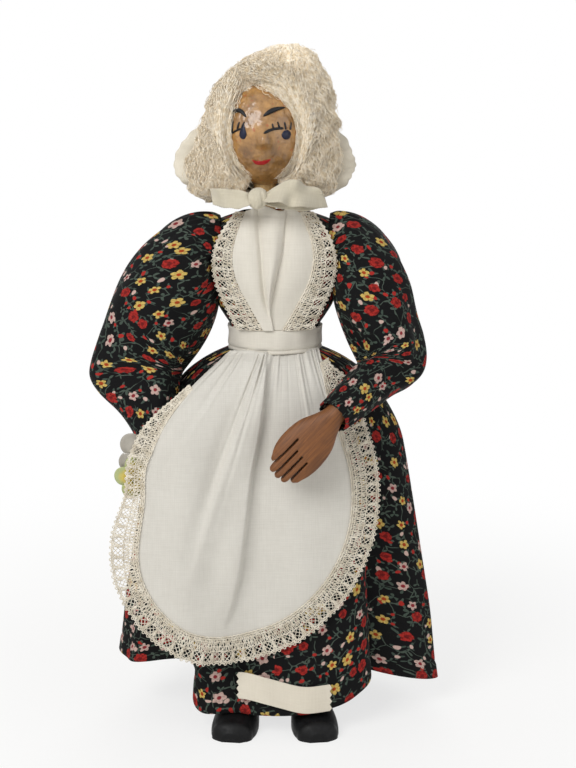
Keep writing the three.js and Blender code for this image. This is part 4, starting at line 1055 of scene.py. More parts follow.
@dataclass
class Bodice(Made):
    """The calico bodice over the stuffed chest."""

    waist: float = 180.0
    rises: tuple[float, ...] = (0, 11, 16, 21, 28, 41, 52, 59, 63.5)
    widths: tuple[float, ...] = (19.5, 19.8, 23, 26, 28, 29.5, 30.5, 27, 15)
    depths: tuple[float, ...] = (17, 17.4, 17.6, 18, 18.2, 18, 16, 13, 10.5)
    thickness: float = 0.7
    flat: Pair = (175.0, 70.0)

    def section(self, rise: Array) -> tuple[Array, Array]:
        """Half-width and half-depth at a height above the waist."""
        return curve(self.rises, self.widths, rise), curve(self.rises, self.depths, rise)

    def surface(self, u: Array, v: Array) -> Array:
        """Points of the bodice's face.

        Args:
            u: Share of the way round from the front.
            v: Share of the way from neck to waist.

        Returns:
            The points.
        """
        angle, rise = u * TURN, (1 - v) * self.rises[-1]
        wide, deep = self.section(rise)
        tuck = 0.35 * np.cos(9 * angle + 3 * v) * np.sin(math.pi * v)
        seam = 0.6 * bell(around(angle, 180), 0.035)
        wide, deep = wide - tuck - seam, deep - tuck - seam
        return np.stack([wide * np.sin(angle), -deep * np.cos(angle), self.waist + rise], -1)

    def build(self) -> None:
        """Make the bodice."""
        skin = surface_cloth(self.surface, (220, 70), self.flat, self.thickness, 1, True)
        piece = self.shop.piece("dress_bodice_cloth", skin, CALICO, "torso", "calico", "dress_bodice")


# Lace


@dataclass(frozen=True)
class Lace:
    """A strip of machine-made lace: header cords, a close net, clustered holes and a picot edge.

    Its threads are about twice as thick as real ones, which would be under half a pixel wide.
    """

    cluster: float = 4.8
    net: float = 1.05
    hole: float = 1.3
    picot: float = 2.4
    thread: float = 0.175
    cord: float = 0.26
    cords: tuple[Point, ...] = (
        (0.0, 0.3, 1.1), (0.07, 0.26, 1.3), (0.16, 0.24, 1.7), (0.34, 0.15, 2.1), (0.52, 0.22, 1.9),
        (0.88, 0.25, 1.2), (0.94, 0.24, 1.3),
    )

    def strip(self, place: Callable[[Array, Array, Array], Array], steps: int, middle: float) -> Skin:
        """Threads of a strip that is as long as its middle line.

        Args:
            place: Gives points from the share along, the share across and the lift off the cloth.
            steps: Points at which the line is measured.
            middle: Share across where it runs.

        Returns:
            A skin of all the threads.
        """
        shares = np.linspace(0, 1, steps)
        run = distance(place(shares, np.full_like(shares, middle), np.zeros_like(shares)))
        return self.skin(run[-1], lambda d, t, h: place(np.interp(d, run, shares), t, h))

    def skin(self, length: float, place: Callable[[Array, Array, Array], Array]) -> Skin:
        """Threads of a strip.

        Args:
            length: Length of the strip.
            place: Gives points from the distance along, the share across and the lift off the cloth.

        Returns:
            A skin of all the threads.
        """
        parts: list[Skin] = []

        def lay(along: Array, across: Array, radius: float, lift: Any = 0.3) -> None:
            """Lay threads along paths on the strip."""
            along, across, lift = np.broadcast_arrays(np.clip(along, 0, length), across, lift)
            parts.append(tubes(place(along, across, lift), radius))

        run = np.linspace(0, length, int(length / 0.6))[None]
        for share, radius, beat in self.cords:
            wave = 0.014 * np.sin(run * TURN / beat / 2 + 9 * share)
            lay(run, share + wave, radius, 0.45 + 0.12 * np.cos(run * TURN / beat / 2))
        step = np.linspace(0, 1, 8)[None]
        for way in (-1, 1):
            starts = np.arange(-3, length + 3, self.net)[:, None]
            wave = 0.3 * np.sin(step * TURN * 1.5 + starts * 2)
            lay(starts + way * 2.2 * (step - 0.5) + wave, mix(0.03, 0.53, step), self.thread, 0.3 + 0.1 * way)

            # The outer net is drawn together and let apart again, which leaves groups of open holes.
            slant = np.arange(-3, length + 3, self.hole)[:, None] + way * 2.9 * (step - 0.5)
            gather = 0.62 * np.sin(slant * TURN / self.cluster + 0.9 * step)
            lay(slant + gather, mix(0.51, 0.9, step), self.thread, 0.36 + 0.1 * way)
        bars = np.arange(0.4, length, self.net * 1.4)[:, None]
        lay(bars + 0.35 * np.sin(step * 7 + bars * 3), mix(0.0, 0.53, step), self.thread, 0.36)
        fine = np.linspace(0, 1, 34)[None]
        sprigs = np.arange(self.cluster / 2, length, self.cluster)[:, None]
        swell = 0.15 + 0.6 * np.sin(fine * math.pi)
        sprigs = sprigs + swell * np.sin(fine * TURN * 5.5) + 0.4 * fine
        lay(sprigs, mix(0.56, 0.86, fine), self.thread * 1.1, 0.5)
        loops = np.arange(self.picot / 2, length, self.picot)[:, None]
        arch = np.linspace(-0.25, math.pi + 0.25, 9)[None]
        lay(loops + 0.62 * np.cos(arch), 0.93 + 0.085 * np.sin(arch), self.cord * 0.85, 0.4)
        ties = np.arange(0, length, self.picot / 2)[:, None]
        lay(ties + 0.2 * np.sin(step * 5), mix(0.88, 0.94, step), self.thread, 0.4)
        return merge(parts)


# Apron


@dataclass
class Apron(Made):
    """The gathered apron with its waistband, bib, lace and bow."""

    skirt: Skirt
    bodice: Bodice
    thickness: float = 0.5
    lift: float = 2.2
    left_spread: float = 6.0
    right_spread: float = 85.0
    hand_room: float = 12.0
    middle_side: float = -14.0
    middle: float = 106.0
    lean: float = 0.12
    half_width: float = 50.5
    above: float = 62.0
    below: float = 55.0
    top_angle: float = 122.0
    top_half_width: float = 20.5
    shoulder: float = 0.14
    shoulder_swell: float = 6.0
    lace_width: float = 12.0
    lace_reach: Pair = (0.045, 0.99)
    band_height: float = 11.0
    band_girth: float = 128.0
    band_thickness: float = 1.2
    stitch_gap: float = 2.3
    bib_low: float = 191.3
    bib_high: float = 243.6
    bib_edge: tuple[float, ...] = (5, 11, 16.5, 19, 17.5, 13)
    bib_lace_edge: tuple[float, ...] = (18, 23, 27.5, 28.6, 25.5, 18)
    knot_radius: float = 4.5
    loop_length: float = 14.0
    loop_half_width: float = 6.0
    ribbon_width: float = 10.0
    tail_length: float = 62.0
    fold_line: tuple[Pair, ...] = (
        (-29, 40), (-18.5, 70), (-16, 82), (-13.5, 101), (-10.5, 127), (-6.5, 149), (-4, 170), (-3.5, 180),
    )
    side_fold: tuple[Pair, ...] = ((-46, 60), (-36, 90), (-27, 120), (-18, 147), (-10, 166), (-8, 180))

    def depth(self, x: Array, z: Array) -> Array:
        """Depth of the apron at a place seen from the front; the right hand holds that side away.

        Args:
            x: Side.
            z: Height.

        Returns:
            The depth.
        """
        spread = np.where(x > 0, self.left_spread, self.right_spread)
        room = self.hand_room * ramp(-x, 5, 45) * ramp(self.skirt.waist - z, 4, 40)
        across = x / (self.skirt.width_at(z) + spread)
        return -(self.skirt.front_at(z) + self.lift + room) * np.sqrt(np.maximum(0.05, 1 - across**2))

    def outline(self, angle: Array) -> tuple[Array, Array]:
        """The cloth's round edge.

        Args:
            angle: Angle round it, 0 at its lowest point.

        Returns:
            Side and height.
        """
        up = -np.cos(angle)
        z = self.middle + up * np.where(up > 0, self.above, self.below)
        full = 4 * ramp(-angle, 1.7, 2.13) - 3 * bell(angle + 1.65, 0.34)
        leant = self.middle_side + self.lean * (z - self.middle)
        return leant + self.half_width * np.sin(angle) - full, z

    def fold(self, x: Array, z: Array) -> Array:
        """How far the folds stand forward at a place.

        Args:
            x: Side.
            z: Height.

        Returns:
            The distance, in millimetres.
        """
        line = np.array(self.fold_line)
        away = x - curve(line[:, 1], line[:, 0], z)
        strength = ramp(z, 42, 90) * mix(1.0, 0.55, ramp(z, 150, 178))
        step = ramp(away, -0.5, 1.1)
        main = 3.4 * ramp(away, -17, -1.5) ** 1.3 * (1 - step) - 1.0 * step * (1 - ramp(away, 3, 18))
        line = np.array(self.side_fold)
        aside = x - curve(line[:, 1], line[:, 0], z)
        ridge = 2.2 * ramp(aside, -2.2, 1.2) * (1 - ramp(aside, 2, 13)) - 1.0 * bell(aside + 4, 3.5)
        ridge = ridge * ramp(z, 70, 130)
        lower = 0.9 * bell(x - 12 + 0.1 * (z - 80), 7) * bell(z - 75, 30)
        swell = 0.5 * np.sin(x * 0.21 + z * 0.05) * np.sin(z * 0.08 + 1)
        return main * strength + ridge + lower + swell * ramp(180 - z, 5, 30)

    def surface(self, u: Array, v: Array) -> Array:
        """Points of the apron cloth.

        Args:
            u: Share across, from the doll's right to its left.
            v: Share down, from the band to the edge.

        Returns:
            The points.
        """
        side = 2 * u - 1
        foot_x, foot_z = self.outline(math.radians(self.top_angle) * side)
        top = self.skirt.waist + 1.5
        x, z = mix(self.top_half_width * side, foot_x, v), mix(top, foot_z, v)
        x = x - self.shoulder_swell * np.sin(math.pi * v) * np.clip(-side, 0, 1) ** 3
        drop = np.maximum(0, top - z)
        run = 7.6 * u + 0.4 * np.sin(TURN * 2.3 * u) + 0.2 * np.sin(TURN * 5.1 * u + 1)
        ridges = np.abs(np.sin(math.pi * run)) ** 0.8 - 0.6 + 0.25 * np.cos(TURN * 2.2 * run)
        fall = 16 + 9 * np.sin(TURN * 3.1 * u + 0.8)
        pleat = 2.5 * ridges * np.exp(-drop / fall) * ramp(drop, 0, 2.5)
        tuck = 2.6 * (1 - ramp(drop, 0, 4.5))
        edge = 1 - ramp(v, 0.9, 1.0)
        tame = 1 - 0.75 * ramp(x, -5, 3) * ramp(z, 112, 122)
        y = self.depth(x, z) - 0.8 + tuck - (self.fold(x, z) * tame * edge + pleat)
        return np.stack([x, y, z], -1)

    def edge(self, share: Array) -> tuple[Array, Array]:
        """Side and height of the edge from one end of the band round the bottom to the other.

        Args:
            share: Share of the way, from 0 to 1.

        Returns:
            Side and height.
        """
        top = math.radians(self.top_angle)
        round_x, round_z = self.outline(mix(-top, top, (share - self.shoulder) / (1 - 2 * self.shoulder)))
        side = np.where(share < 0.5, -1, 1)
        up = np.where(share < 0.5, share, 1 - share) / self.shoulder
        foot_x, foot_z = self.outline(top * side)
        straight = up < 1
        full = self.shoulder_swell * np.sin(math.pi * np.clip(up, 0, 1)) * (side < 0)
        x = np.where(straight, mix(self.top_half_width * side, foot_x, up) - full, round_x)
        return x, np.where(straight, mix(self.skirt.waist - 0.6, foot_z, up), round_z)

    def lace_place(self, share: Array, across: Array, lift: Array) -> Array:
        """Points on the apron's lace.

        Args:
            share: Share of the way along it.
            across: Share from the cloth's edge outward.
            lift: Distance off the cloth.

        Returns:
            The points.
        """
        s = mix(*self.lace_reach, share)
        (x, z), (x0, z0), (x1, z1) = self.edge(s), self.edge(s - 0.012), self.edge(s + 0.012)
        way = unit(np.stack([x1 - x0, z1 - z0], -1))
        taper = mix(0.3, 1, ramp(share, 0, 0.09) * ramp(1 - share, 0, 0.05))
        taper = taper * mix(1, 0.68, ramp(z, 96, 126) * ramp(-x, 15, 30))
        reach = mix(-1.2, self.lace_width, across) * taper
        x, z = x + way[..., 1] * reach, z - way[..., 0] * reach
        ruffle = (0.7 * np.sin(share * TURN * 31) + 0.5 * np.sin(share * TURN * 13 + 1)) * across
        return np.stack([x, self.depth(x, z) - 0.9 - lift + ruffle, z], -1)

    def build_skirt(self) -> None:
        """Make the apron's gathered cloth and its lace."""
        rows = np.linspace(0, 1, 150) ** 1.3
        u, v = np.meshgrid(np.linspace(0, 1, 200), rows)
        points = self.surface(u, v)
        skin = cloth(points, self.thickness, points[..., [0, 2]], False, -1)
        piece = self.shop.piece("apron_skirt_cloth", skin, VOILE, "torso", "apron_cotton", "apron_skirt")
        threads = Lace().strip(self.lace_place, 2000, 0.5)
        lace = self.shop.piece(
            "apron_lace_edging", threads, LACE_COTTON, "torso", "lace", "apron_lace", weld=False
        )

    def band_ring(self, angle: Array, z: Array, grow: Array) -> Array:
        """Points round the waistband."""
        wide, deep = self.bodice.section(np.maximum(z - self.skirt.waist, 0.01))
        return np.stack([(wide + grow) * np.sin(angle), -(deep + grow) * np.cos(angle), z], -1)

    def build_band(self) -> None:
        """Make the waistband and its row of stitches."""
        columns, rows = 260, 26
        u, v = np.meshgrid(np.arange(columns) / columns, np.linspace(0, 1, rows))
        z = mix(self.skirt.waist + self.band_height, self.skirt.waist + 0.3, v)
        ease = 0.25 * np.sin(TURN * 5 * u + 2 * v) * np.sin(math.pi * v) + 0.15 * np.sin(TURN * 13 * u)
        stitched = -0.7 * bell(v - 0.86, 0.06)
        points = self.band_ring(u * TURN, z, 1.3 + 0.35 * np.sin(math.pi * v) ** 0.5 + ease + stitched)
        skin = cloth(points, self.band_thickness, flat_uv(rows, columns + 1, 130, self.band_height), True)
        band = self.shop.piece(
            "apron_band_cloth", skin, BAND_COTTON, "torso", "apron_cotton", "apron_waistband"
        )
        starts = np.arange(0, self.band_girth, self.stitch_gap)[:, None]
        step = np.linspace(0, 1, 5)[None]
        angle = (starts + 1.25 * step) / self.band_girth * TURN
        level = self.skirt.waist + self.band_height * 0.15 + 0.12 * np.sin(starts * 5) + 0.5 * (step - 0.5)
        path = self.band_ring(angle, level, 1.5 + 0.45 * np.sin(math.pi * step))
        stitches = tubes(path, 0.42, 4, (0, 0, 1))
        row = self.shop.piece(
            "apron_band_stitches", stitches, STITCH_COTTON, "torso", "apron_cotton", weld=False
        )

    def bib_depth(self, x: Array, z: Array) -> Array:
        """Depth of the bib at a place seen from the front."""
        wide, deep = self.bodice.section(z - self.skirt.waist)
        return -(deep + 1.6) * np.sqrt(1 - (x / (wide + 8)) ** 2)

    def bib_surface(self, u: Array, v: Array) -> Array:
        """Points of the bib: the right panel's rolled edge lies over the left panel.

        Args:
            u: Share across, from the doll's right to its left.
            v: Share up, from the band to the neck.

        Returns:
            The points.
        """
        edge = even(self.bib_edge, v)
        x = mix(-1, 1, u) * edge
        lobes = 4.2 * bell(x + 5, 8.5) + 3.4 * bell(x - 8, 3)
        z = mix(self.bib_low, self.bib_high + lobes, v)
        lap = curve((191, 203, 209.5, 226.5, 243), (-0.2, -1.7, -0.6, 3.2, 5.1), z)
        crease = curve((191, 206, 228, 243), (-0.8, -4.2, -6.2, -7.5), z)
        across = np.clip((x - crease) / (lap - crease), 0, 1)
        roll = 2.8 * np.sin(math.pi * across**1.3) * ramp(z, 192, 215)
        under = 1 - ramp(x - lap, -0.35, 0.35)
        panel = 1.6 * np.sin(math.pi * np.clip((crease - x) / (crease + edge), 0, 1)) * ramp(z, 195, 215)
        tuck = -1.0 * bell(x - crease, 1.2) * ramp(z, 194, 205)
        left = 1.9 * np.sin(math.pi * np.clip((x - lap) / (edge - lap), 0, 1) ** 0.8) * ramp(z, 195, 215)
        out = np.where(x < lap, 1.5 * under + roll + panel + tuck, 1.5 * under + left)
        return np.stack([x, self.bib_depth(x, z) - 0.5 - out, z], -1)

    def bib_lace_place(self, side: int, share: Array, across: Array, lift: Array) -> Array:
        """Points on the lace at one side of the bib.

        Args:
            side: 1 for the doll's left, -1 for its right.
            share: Share of the way up.
            across: Share from the bib's edge outward.
            lift: Distance off the cloth.

        Returns:
            The points.
        """
        z = mix(self.bib_low, self.bib_high + 1, share)
        near, far = even(self.bib_edge, share), even(self.bib_lace_edge, share)
        x = side * mix(near - 1.2, far, across)
        ruffle = 0.5 * np.sin(share * TURN * 9) * across
        off = mix(0.6 + ruffle, 1.5, ramp(share, 0.6, 0.75) * ramp(across, 0.3, 0.7))
        return np.stack([x, self.bib_depth(x, z) - off - lift, z], -1)

    def build_bib(self) -> None:
        """Make the bib and the lace at its sides."""
        u, v = np.meshgrid(np.linspace(0, 1, 130), np.linspace(0, 1, 110))
        points = self.bib_surface(u, v)
        skin = cloth(points, self.thickness, points[..., [0, 2]])
        bib = self.shop.piece("apron_bib_cloth", skin, BAND_COTTON, "torso", "apron_cotton", "apron_bib")
        for name, side in SIDES:
            threads = Lace().strip(partial(self.bib_lace_place, side), 600, 0.6)
            piece = self.shop.make(f"bib_lace_edging_{name}", threads, LACE_COTTON, False)
            self.shop.settle(piece, "torso", "lace", f"bib_lace_{name}")

    def build_bow(self) -> None:
        """Make the bow at the back of the band."""
        middle = np.array([0, self.skirt.waist_half_depth + 2.4 + self.knot_radius, 185.5])
        turn, rise = np.meshgrid(np.linspace(0, TURN, 48, endpoint=False), np.linspace(-0.97, 0.97, 25))
        wrap = 1 + 0.09 * np.cos(7 * turn + 5 * rise) + 0.06 * np.cos(13 * rise)
        size = self.knot_radius * np.sqrt(1 - rise**2) * wrap
        rise = 1.15 * self.knot_radius * rise
        rings = middle + np.stack([0.8 * size * np.sin(turn), -size * np.cos(turn), rise], -1)
        skin = loft(rings, flat_uv(25, 49, 24, 10))
        self.shop.piece("bow_knot_cloth", skin, BAND_COTTON, "torso", "apron_cotton", "apron_bow_knot")
        near = self.knot_radius * 0.8 + 1.2
        for name, side in SIDES:

            def loop(u: Array, v: Array) -> Array:
                """Points of a loop that stands on its edge.

                Args:
                    u: Share of the way round.
                    v: Share up.

                Returns:
                    The points.
                """
                angle = u * TURN
                away = 0.5 - 0.5 * np.cos(angle)
                full = self.loop_half_width * (0.3 + 0.7 * away)
                squeeze = mix(0.72, 1.06, ramp(away, 0, 0.55))
                y = full * np.sin(angle) + 0.5 * np.cos(TURN * 2 * v) * (1 - away)
                z = self.ribbon_width * (v - 0.5) * squeeze - 2.2 * away**2
                return middle + np.stack([side * (near + self.loop_length * away), y, z], -1)

            skin = surface_cloth(loop, (120, 16), (40, self.ribbon_width), self.thickness, -side, True)
            piece = self.shop.make(f"bow_loop_cloth_{name}", skin, BAND_COTTON)
            self.shop.settle(piece, "torso", "apron_cotton", f"apron_bow_loop_{name}")

            def tail(u: Array, v: Array) -> Array:
                """Points of a hanging end.

                Args:
                    u: Share across.
                    v: Share down.

                Returns:
                    The points.
                """
                half = self.ribbon_width / 2
                slant = 5 * (u - 0.5) * ramp(v, 0.8, 1)
                z = middle[2] - half - 0.3 - v * self.tail_length - slant
                x = side * mix(half + 0.5, half + 10, v) + mix(-half, half, u)
                hung = np.sqrt(1 - (x / (self.skirt.width_at(z) + 1)) ** 2) * (self.skirt.back_at(z) + 1.4)
                wave = 0.8 * np.sin(v * 9 + side) * ramp(v, 0.15, 0.5) + 0.5 * np.cos(TURN * (u - 0.5))
                y = np.maximum(hung, middle[1] - self.knot_radius + 1.2) + 0.6 + wave
                return np.stack([x, y, z], -1)

            skin = surface_cloth(tail, (16, 90), (self.ribbon_width, self.tail_length), self.thickness)
            piece = self.shop.make(f"bow_tail_cloth_{name}", skin, BAND_COTTON)
            self.shop.settle(piece, "torso", "apron_cotton", f"apron_bow_tail_{name}")

    def build(self) -> None:
        """Make the whole apron."""
        self.build_band()
        self.build_skirt()
        self.build_bib()
        self.build_bow()


@dataclass
class HemTag(Made):
    """The bare cloth tag with pinked ends, sewn above the hem."""

    skirt: Skirt
    length: float = 45.0
    height: float = 13.0
    side: float = 4.5
    rise: float = 21.5
    tilt: float = 0.17
    thickness: float = 0.35

    def surface(self, u: Array, v: Array) -> Array:
        """Points of the tag.

        Args:
            u: Share along, from the doll's right to its left.
            v: Share up.

        Returns:
            The points.
        """
        teeth = 2.2 * np.abs((v * 4) % 1 - 0.5) * ramp(np.abs(u - 0.5), 0.4, 0.5)
        along = mix(-self.length / 2, self.length / 2, u) * (1 - teeth / self.length * 2)
        bow = 1.2 * np.sin(u * TURN * 1.1 + 0.4)
        x = self.side + along
        z = self.rise - along * self.tilt + self.height * (v - 0.5) + bow
        lift = 1.5 + 0.6 * (1 - np.cos(u * TURN * 2)) + 0.25 * (v - 0.5) ** 2
        y = -(self.skirt.front_at(z) + lift) * np.sqrt(1 - (x / (self.skirt.width_at(z) + 1)) ** 2)
        return np.stack([x, y, z], -1)

    def build(self) -> None:
        """Make the tag."""
        skin = surface_cloth(self.surface, (120, 49), (self.length, self.height), self.thickness)
        piece = self.shop.piece("hem_tag_tape", skin, TAG_COTTON, "torso", "tag_cloth", "hem_tag")


# Head


@dataclass
class Head(Made):
    """The nut with its painted face, the wig, the bonnet and the ribbon under the chin."""

    middle: Point = (-4.5, -0.5, 279.0)
    half_width: float = 19.5
    half_depth: float = 19.5
    height: float = 47.0
    nose: float = 5.5
    ridge: float = 0.8
    chin: float = 255.5
    furrow: float = 0.5
    face_lines: tuple[tuple[tuple[Pair, ...], tuple[float, ...]], ...] = (
        (((-19.4, 288), (-17.8, 289.7), (-16, 290.2), (-14.2, 289.5), (-12.4, 287.4)),
         (0.35, 0.8, 1.05, 0.9, 0.45)),
        (((-4.8, 287.9), (-2.6, 289.4), (-0.6, 290.4), (2.1, 291.2), (5.2, 291.6)),
         (0.5, 0.95, 1.15, 0.85, 0.3)),
        (((-18.2, 285.8), (-18.6, 283), (-18.9, 280.2)), (0.3, 0.5, 0.45)),
        (((-15.5, 285.4), (-16, 283.6), (-16.5, 282)), (0.3, 0.5, 0.4)),
        (((-13.2, 285.4), (-13.8, 284), (-14.4, 282.6)), (0.35, 0.55, 0.5)),
        (((-19, 280), (-17.4, 281.2), (-15.8, 282), (-13.8, 282.5)), (0.35, 0.45, 0.45, 0.5)),
        (((-4.6, 280.7), (-2.4, 281.7), (-0.4, 282.3), (2, 282.6), (4.2, 282.6)), (0.55, 0.7, 0.6, 0.6, 0.6)),
        (((-0.8, 284.8), (-0.3, 282.8)), (0.3, 0.45)),
        (((1.6, 285.6), (2.4, 283)), (0.3, 0.5)),
        (((4.7, 285.3), (5.2, 282)), (0.35, 0.55)),
        (((7.6, 285.2), (7.2, 281.8)), (0.35, 0.5)),
    )
    long_eye: tuple[Pair, ...] = (
        (-13.4, 285), (-12.5, 282), (-12.2, 279.6), (-13.1, 277.9), (-14.6, 277.9), (-15.6, 279.5),
        (-15, 282),
    )
    round_eye: Pair = (5.5, 279.7)
    eye_radius: float = 2.2
    lips: tuple[Pair, ...] = (
        (-10.6, 268.7), (-8.3, 268), (-6.6, 268.3), (-5.6, 268.1), (-3.8, 268.5), (-1.1, 269), (-3.6, 266.6),
        (-6, 266), (-8.4, 266.5),
    )
    wig_rows: tuple[tuple[float, ...], ...] = (
        (-6.5, -2, 24, 9, 20), (-4, -1.5, 30, 13, 25), (1, -1, 33, 15.5, 27), (9, -0.5, 34, 17, 28),
        (18, 0.5, 33, 18.5, 28.5), (28, 2.5, 30.5, 19, 28), (38, 3.2, 28, 18, 27), (47, 4.5, 24.5, 14, 24),
        (55, 6.5, 19, 11, 19), (60.5, 9.5, 13, 8, 13), (64.5, 11, 5.5, 4.5, 6),
    )
    face_oval: tuple[float, float, float, float] = (-4.5, 279.5, 17.0, 22.5)
    throat_oval: tuple[float, float, float, float] = (-4.5, 250.5, 8.5, 9.5)
    strands: int = 4300
    fringe: int = 900
    strand_steps: int = 26
    strand_radius: float = 0.15
    seed: int = 11
    bonnet_half_width: float = 42.0
    bonnet_up: float = 22.0
    bonnet_down: float = 16.5
    bonnet_rise: float = 264.5
    bonnet_front: float = 4.0
    bonnet_puff: float = 33.0
    bonnet_pleats: int = 8
    bonnet_frill: float = 0.16
    knot: Point = (-7.2, -24.0, 252.1)

    def nut(self, polar: Array, turn: Array) -> Array:
        """Points of the nut.

        Args:
            polar: Angle from the crown down.
            turn: Angle from the front.

        Returns:
            The points.
        """
        up, out = np.cos(polar), np.sin(polar)
        chin = 1 - np.where(up < 0, 0.1, 0.04) * up * up
        ridge = self.ridge * bell(1 - np.abs(np.sin(turn)), 0.012) * out
        x = (self.half_width * chin + ridge) * out * np.sin(turn)
        y = -self.half_depth * chin * out * np.cos(turn)
        z = self.height / 2 * up
        y = y - np.where(y < 0, self.nose_at(x, z), 0)
        return np.stack([x, y, z], -1) + self.middle

    def nose_at(self, x: Array, z: Array) -> Array:
        """How far the nose stands forward at a place about the nut's middle."""
        fall = np.where(z > -2.2, 6.0, 2.6)
        return self.nose * bell(x, 3.4) * bell(z + 2.2, fall)

    def face_y(self, x: Array, z: Array) -> Array:
        """Depth of the nut's face at a place seen from the front.

        Args:
            x: Side.
            z: Height.

        Returns:
            The depth.
        """
        side, rise = x - self.middle[0], z - self.middle[2]
        up = np.clip(rise / (self.height / 2), -0.99, 0.99)
        out = np.sqrt(1 - up * up) * (1 - np.where(up < 0, 0.1, 0.04) * up * up)
        across = np.clip(side / (self.half_width * out), -0.99, 0.99)
        return self.middle[1] - self.half_depth * out * np.sqrt(1 - across**2) - self.nose_at(side, rise)

    def build_nut(self) -> None:
        """Make the nut with its furrows."""
        turn = np.linspace(0, TURN, 240, endpoint=False)
        turn, polar = np.meshgrid(turn - 0.35 * np.sin(turn), np.linspace(0.05, math.pi - 0.05, 170))
        points = self.nut(polar, turn)
        rough = lumps(points, (1, (0.28, 0.28, 0.16)), (0.5, 0.6))
        calm = 1 - 0.55 * bell(turn - TURN * np.round(turn / TURN), 0.8)
        deep = self.furrow * calm * (np.abs(rough) * 1.6 - 0.5)
        points = points + unit(points - self.middle) * deep[..., None]
        skin = loft(points, flat_uv(170, 241, 120, 60))
        self.shop.piece("walnut_shell", skin, SHELL, "head", "nut_shell", "walnut_head")

    def stroke(self, places: Sequence[Pair], radii: Sequence[float]) -> Skin:
        """A raised brush stroke on the face.

        Args:
            places: Side and height of points along it.
            radii: Its half-width at evenly spaced points.

        Returns:
            Its skin.
        """
        share = np.linspace(0, 1, 24)
        straight = mix(np.array(places[0]), np.array(places[-1]), share[:, None])
        way = even(places, share) if len(places) > 2 else straight
        radius = np.maximum(np.interp(share, np.linspace(0, 1, len(radii)), radii), 0.05)
        radius = radius * np.sqrt(np.clip(1 - (2 * share - 1) ** 10, 0.02, 1))
        path = np.stack([way[:, 0], self.face_y(way[:, 0], way[:, 1]) - 0.1, way[:, 1]], -1)
        return tubes(path[None], radius[None], 8)

    def dab(self, outline: Sequence[Pair], height: float) -> Skin:
        """A raised dab of paint on the face.

        Args:
            outline: Side and height of points round it.
            height: How far its middle stands up.

        Returns:
            Its skin.
        """
        ring = np.array([*outline, outline[0]], float)
        places = np.linspace(1, len(ring), 49)[:-1] / (len(ring) + 1)
        ring = even(np.concatenate([ring[-2:-1], ring, ring[1:2]]), places)
        share = np.sin(np.linspace(0.02, 1, 14) * math.pi / 2)[:, None, None]
        flat = mix(ring.mean(0), ring, share)
        x, z = flat[..., 0], flat[..., 1]
        y = self.face_y(x, z) + 0.35 - (height + 0.35) * np.sqrt(np.clip(1 - share[..., 0] ** 2, 0, 1))
        rows = np.stack([x, y, z], -1)
        under = rows[::-1].copy()
        under[..., 1] = self.face_y(under[..., 0], under[..., 2]) + 0.45
        return loft(np.concatenate([rows, under]), flat_uv(28, 49, 5, 5))

    def build_face(self) -> None:
        """Paint the brows, eyes, lashes and lips."""
        eighths = np.arange(8) * TURN / 8
        x, z = self.round_eye
        pupil = [(x + self.eye_radius * math.cos(a), z + self.eye_radius * math.sin(a)) for a in eighths]
        black = [self.stroke(*line) for line in self.face_lines]
        navy = [self.dab(self.long_eye, 0.8), self.dab(pupil, 0.9)]
        lips = [self.dab(self.lips, 0.45)]
        paints = ((black, BLACK_PAINT), (navy, NAVY_PAINT), (lips, RED_PAINT))
        for name, (skins, finish) in zip(("line", "eye", "lip"), paints):
            self.shop.piece(f"face_{name}_paint", merge(skins), finish, "head", "nut_shell")

    def within(self, oval: Sequence[float], x: Array, z: Array) -> Array:
        """Distance from the middle of an oval, 1 on its line."""
        return np.hypot((x - oval[0]) / oval[2], (z - oval[1]) / oval[3])

    def hair_place(self, turn: Array, rise: Array, grow: Array) -> Array:
        """Points on the wig, rolled in to the face and left out under the chin.

        Args:
            turn: Angle from the front.
            rise: Height above the chin.
            grow: Distance outside the wig's form.

        Returns:
            The points.
        """
        rows = np.array(self.wig_rows)
        side, wide, front, back = (curve(rows[:, 0], rows[:, i], rise) for i in (1, 2, 3, 4))
        curl = 1 + 0.03 * np.sin(turn * 6 + rise * 0.4 + np.sin(rise * 0.21))
        curl = curl + 0.02 * np.sin(turn * 11 - rise * 0.55)
        x = self.middle[0] + side + (wide * curl + grow) * np.sin(turn)
        y = -(np.where(np.cos(turn) > 0, front, back) * curl + grow) * np.cos(turn)
        z = self.chin + rise + 0.4 * grow * ramp(rise, 40, 64)
        share = ramp(self.within(self.throat_oval, x, z), 0.96, 1.25)
        y = mix(11.0, y, np.where(y < 11, np.sqrt(share), 1))
        return np.stack([x, np.where(y < 0, self.hair_front(x, y, z), y), z], -1)

    def hair_front(self, x: Array, y: Array, z: Array) -> Array:
        """Depth of the hair where it closes in on the face.

        Args:
            x: Side.
            y: Depth of the wig's form.
            z: Height.

        Returns:
            The depth, a little inside the nut within the face.
        """
        far = self.within(self.face_oval, x, z)
        keep = 1 / np.maximum(far, 1)
        skin = self.face_y(mix(self.face_oval[0], x, keep), mix(self.face_oval[1], z, keep))
        skin = skin + 0.6 + 0.8 * (1 - ramp(far, 0.75, 0.92))
        reach = 1.25 + 0.45 * ramp(z, 284, 300)
        outer = mix(np.minimum(y, skin), y, ramp(far, 1.1, 1.6))
        return mix(skin, outer, ramp(far, 0.88, reach))

    def build_wig(self) -> None:
        """Make the wig: a soft mass with crimped strands over it."""
        rng = np.random.default_rng(self.seed)
        turn, rise = np.meshgrid(np.linspace(0, TURN, 480, endpoint=False), np.linspace(64.2, -6.5, 190))
        mass = self.hair_place(turn, rise, np.zeros_like(turn))
        bulge = lumps(mass, (1, 0.2), (0.7, 0.45), (0.5, (1.2, 1.2, 0.6)))
        mass = self.hair_place(turn, rise, 1.3 * bulge - 1.4)
        skin = loft(mass, flat_uv(190, 481, 190, 90))
        self.shop.piece("wig_mass", skin, MOHAIR, "head", "mohair", "wig")

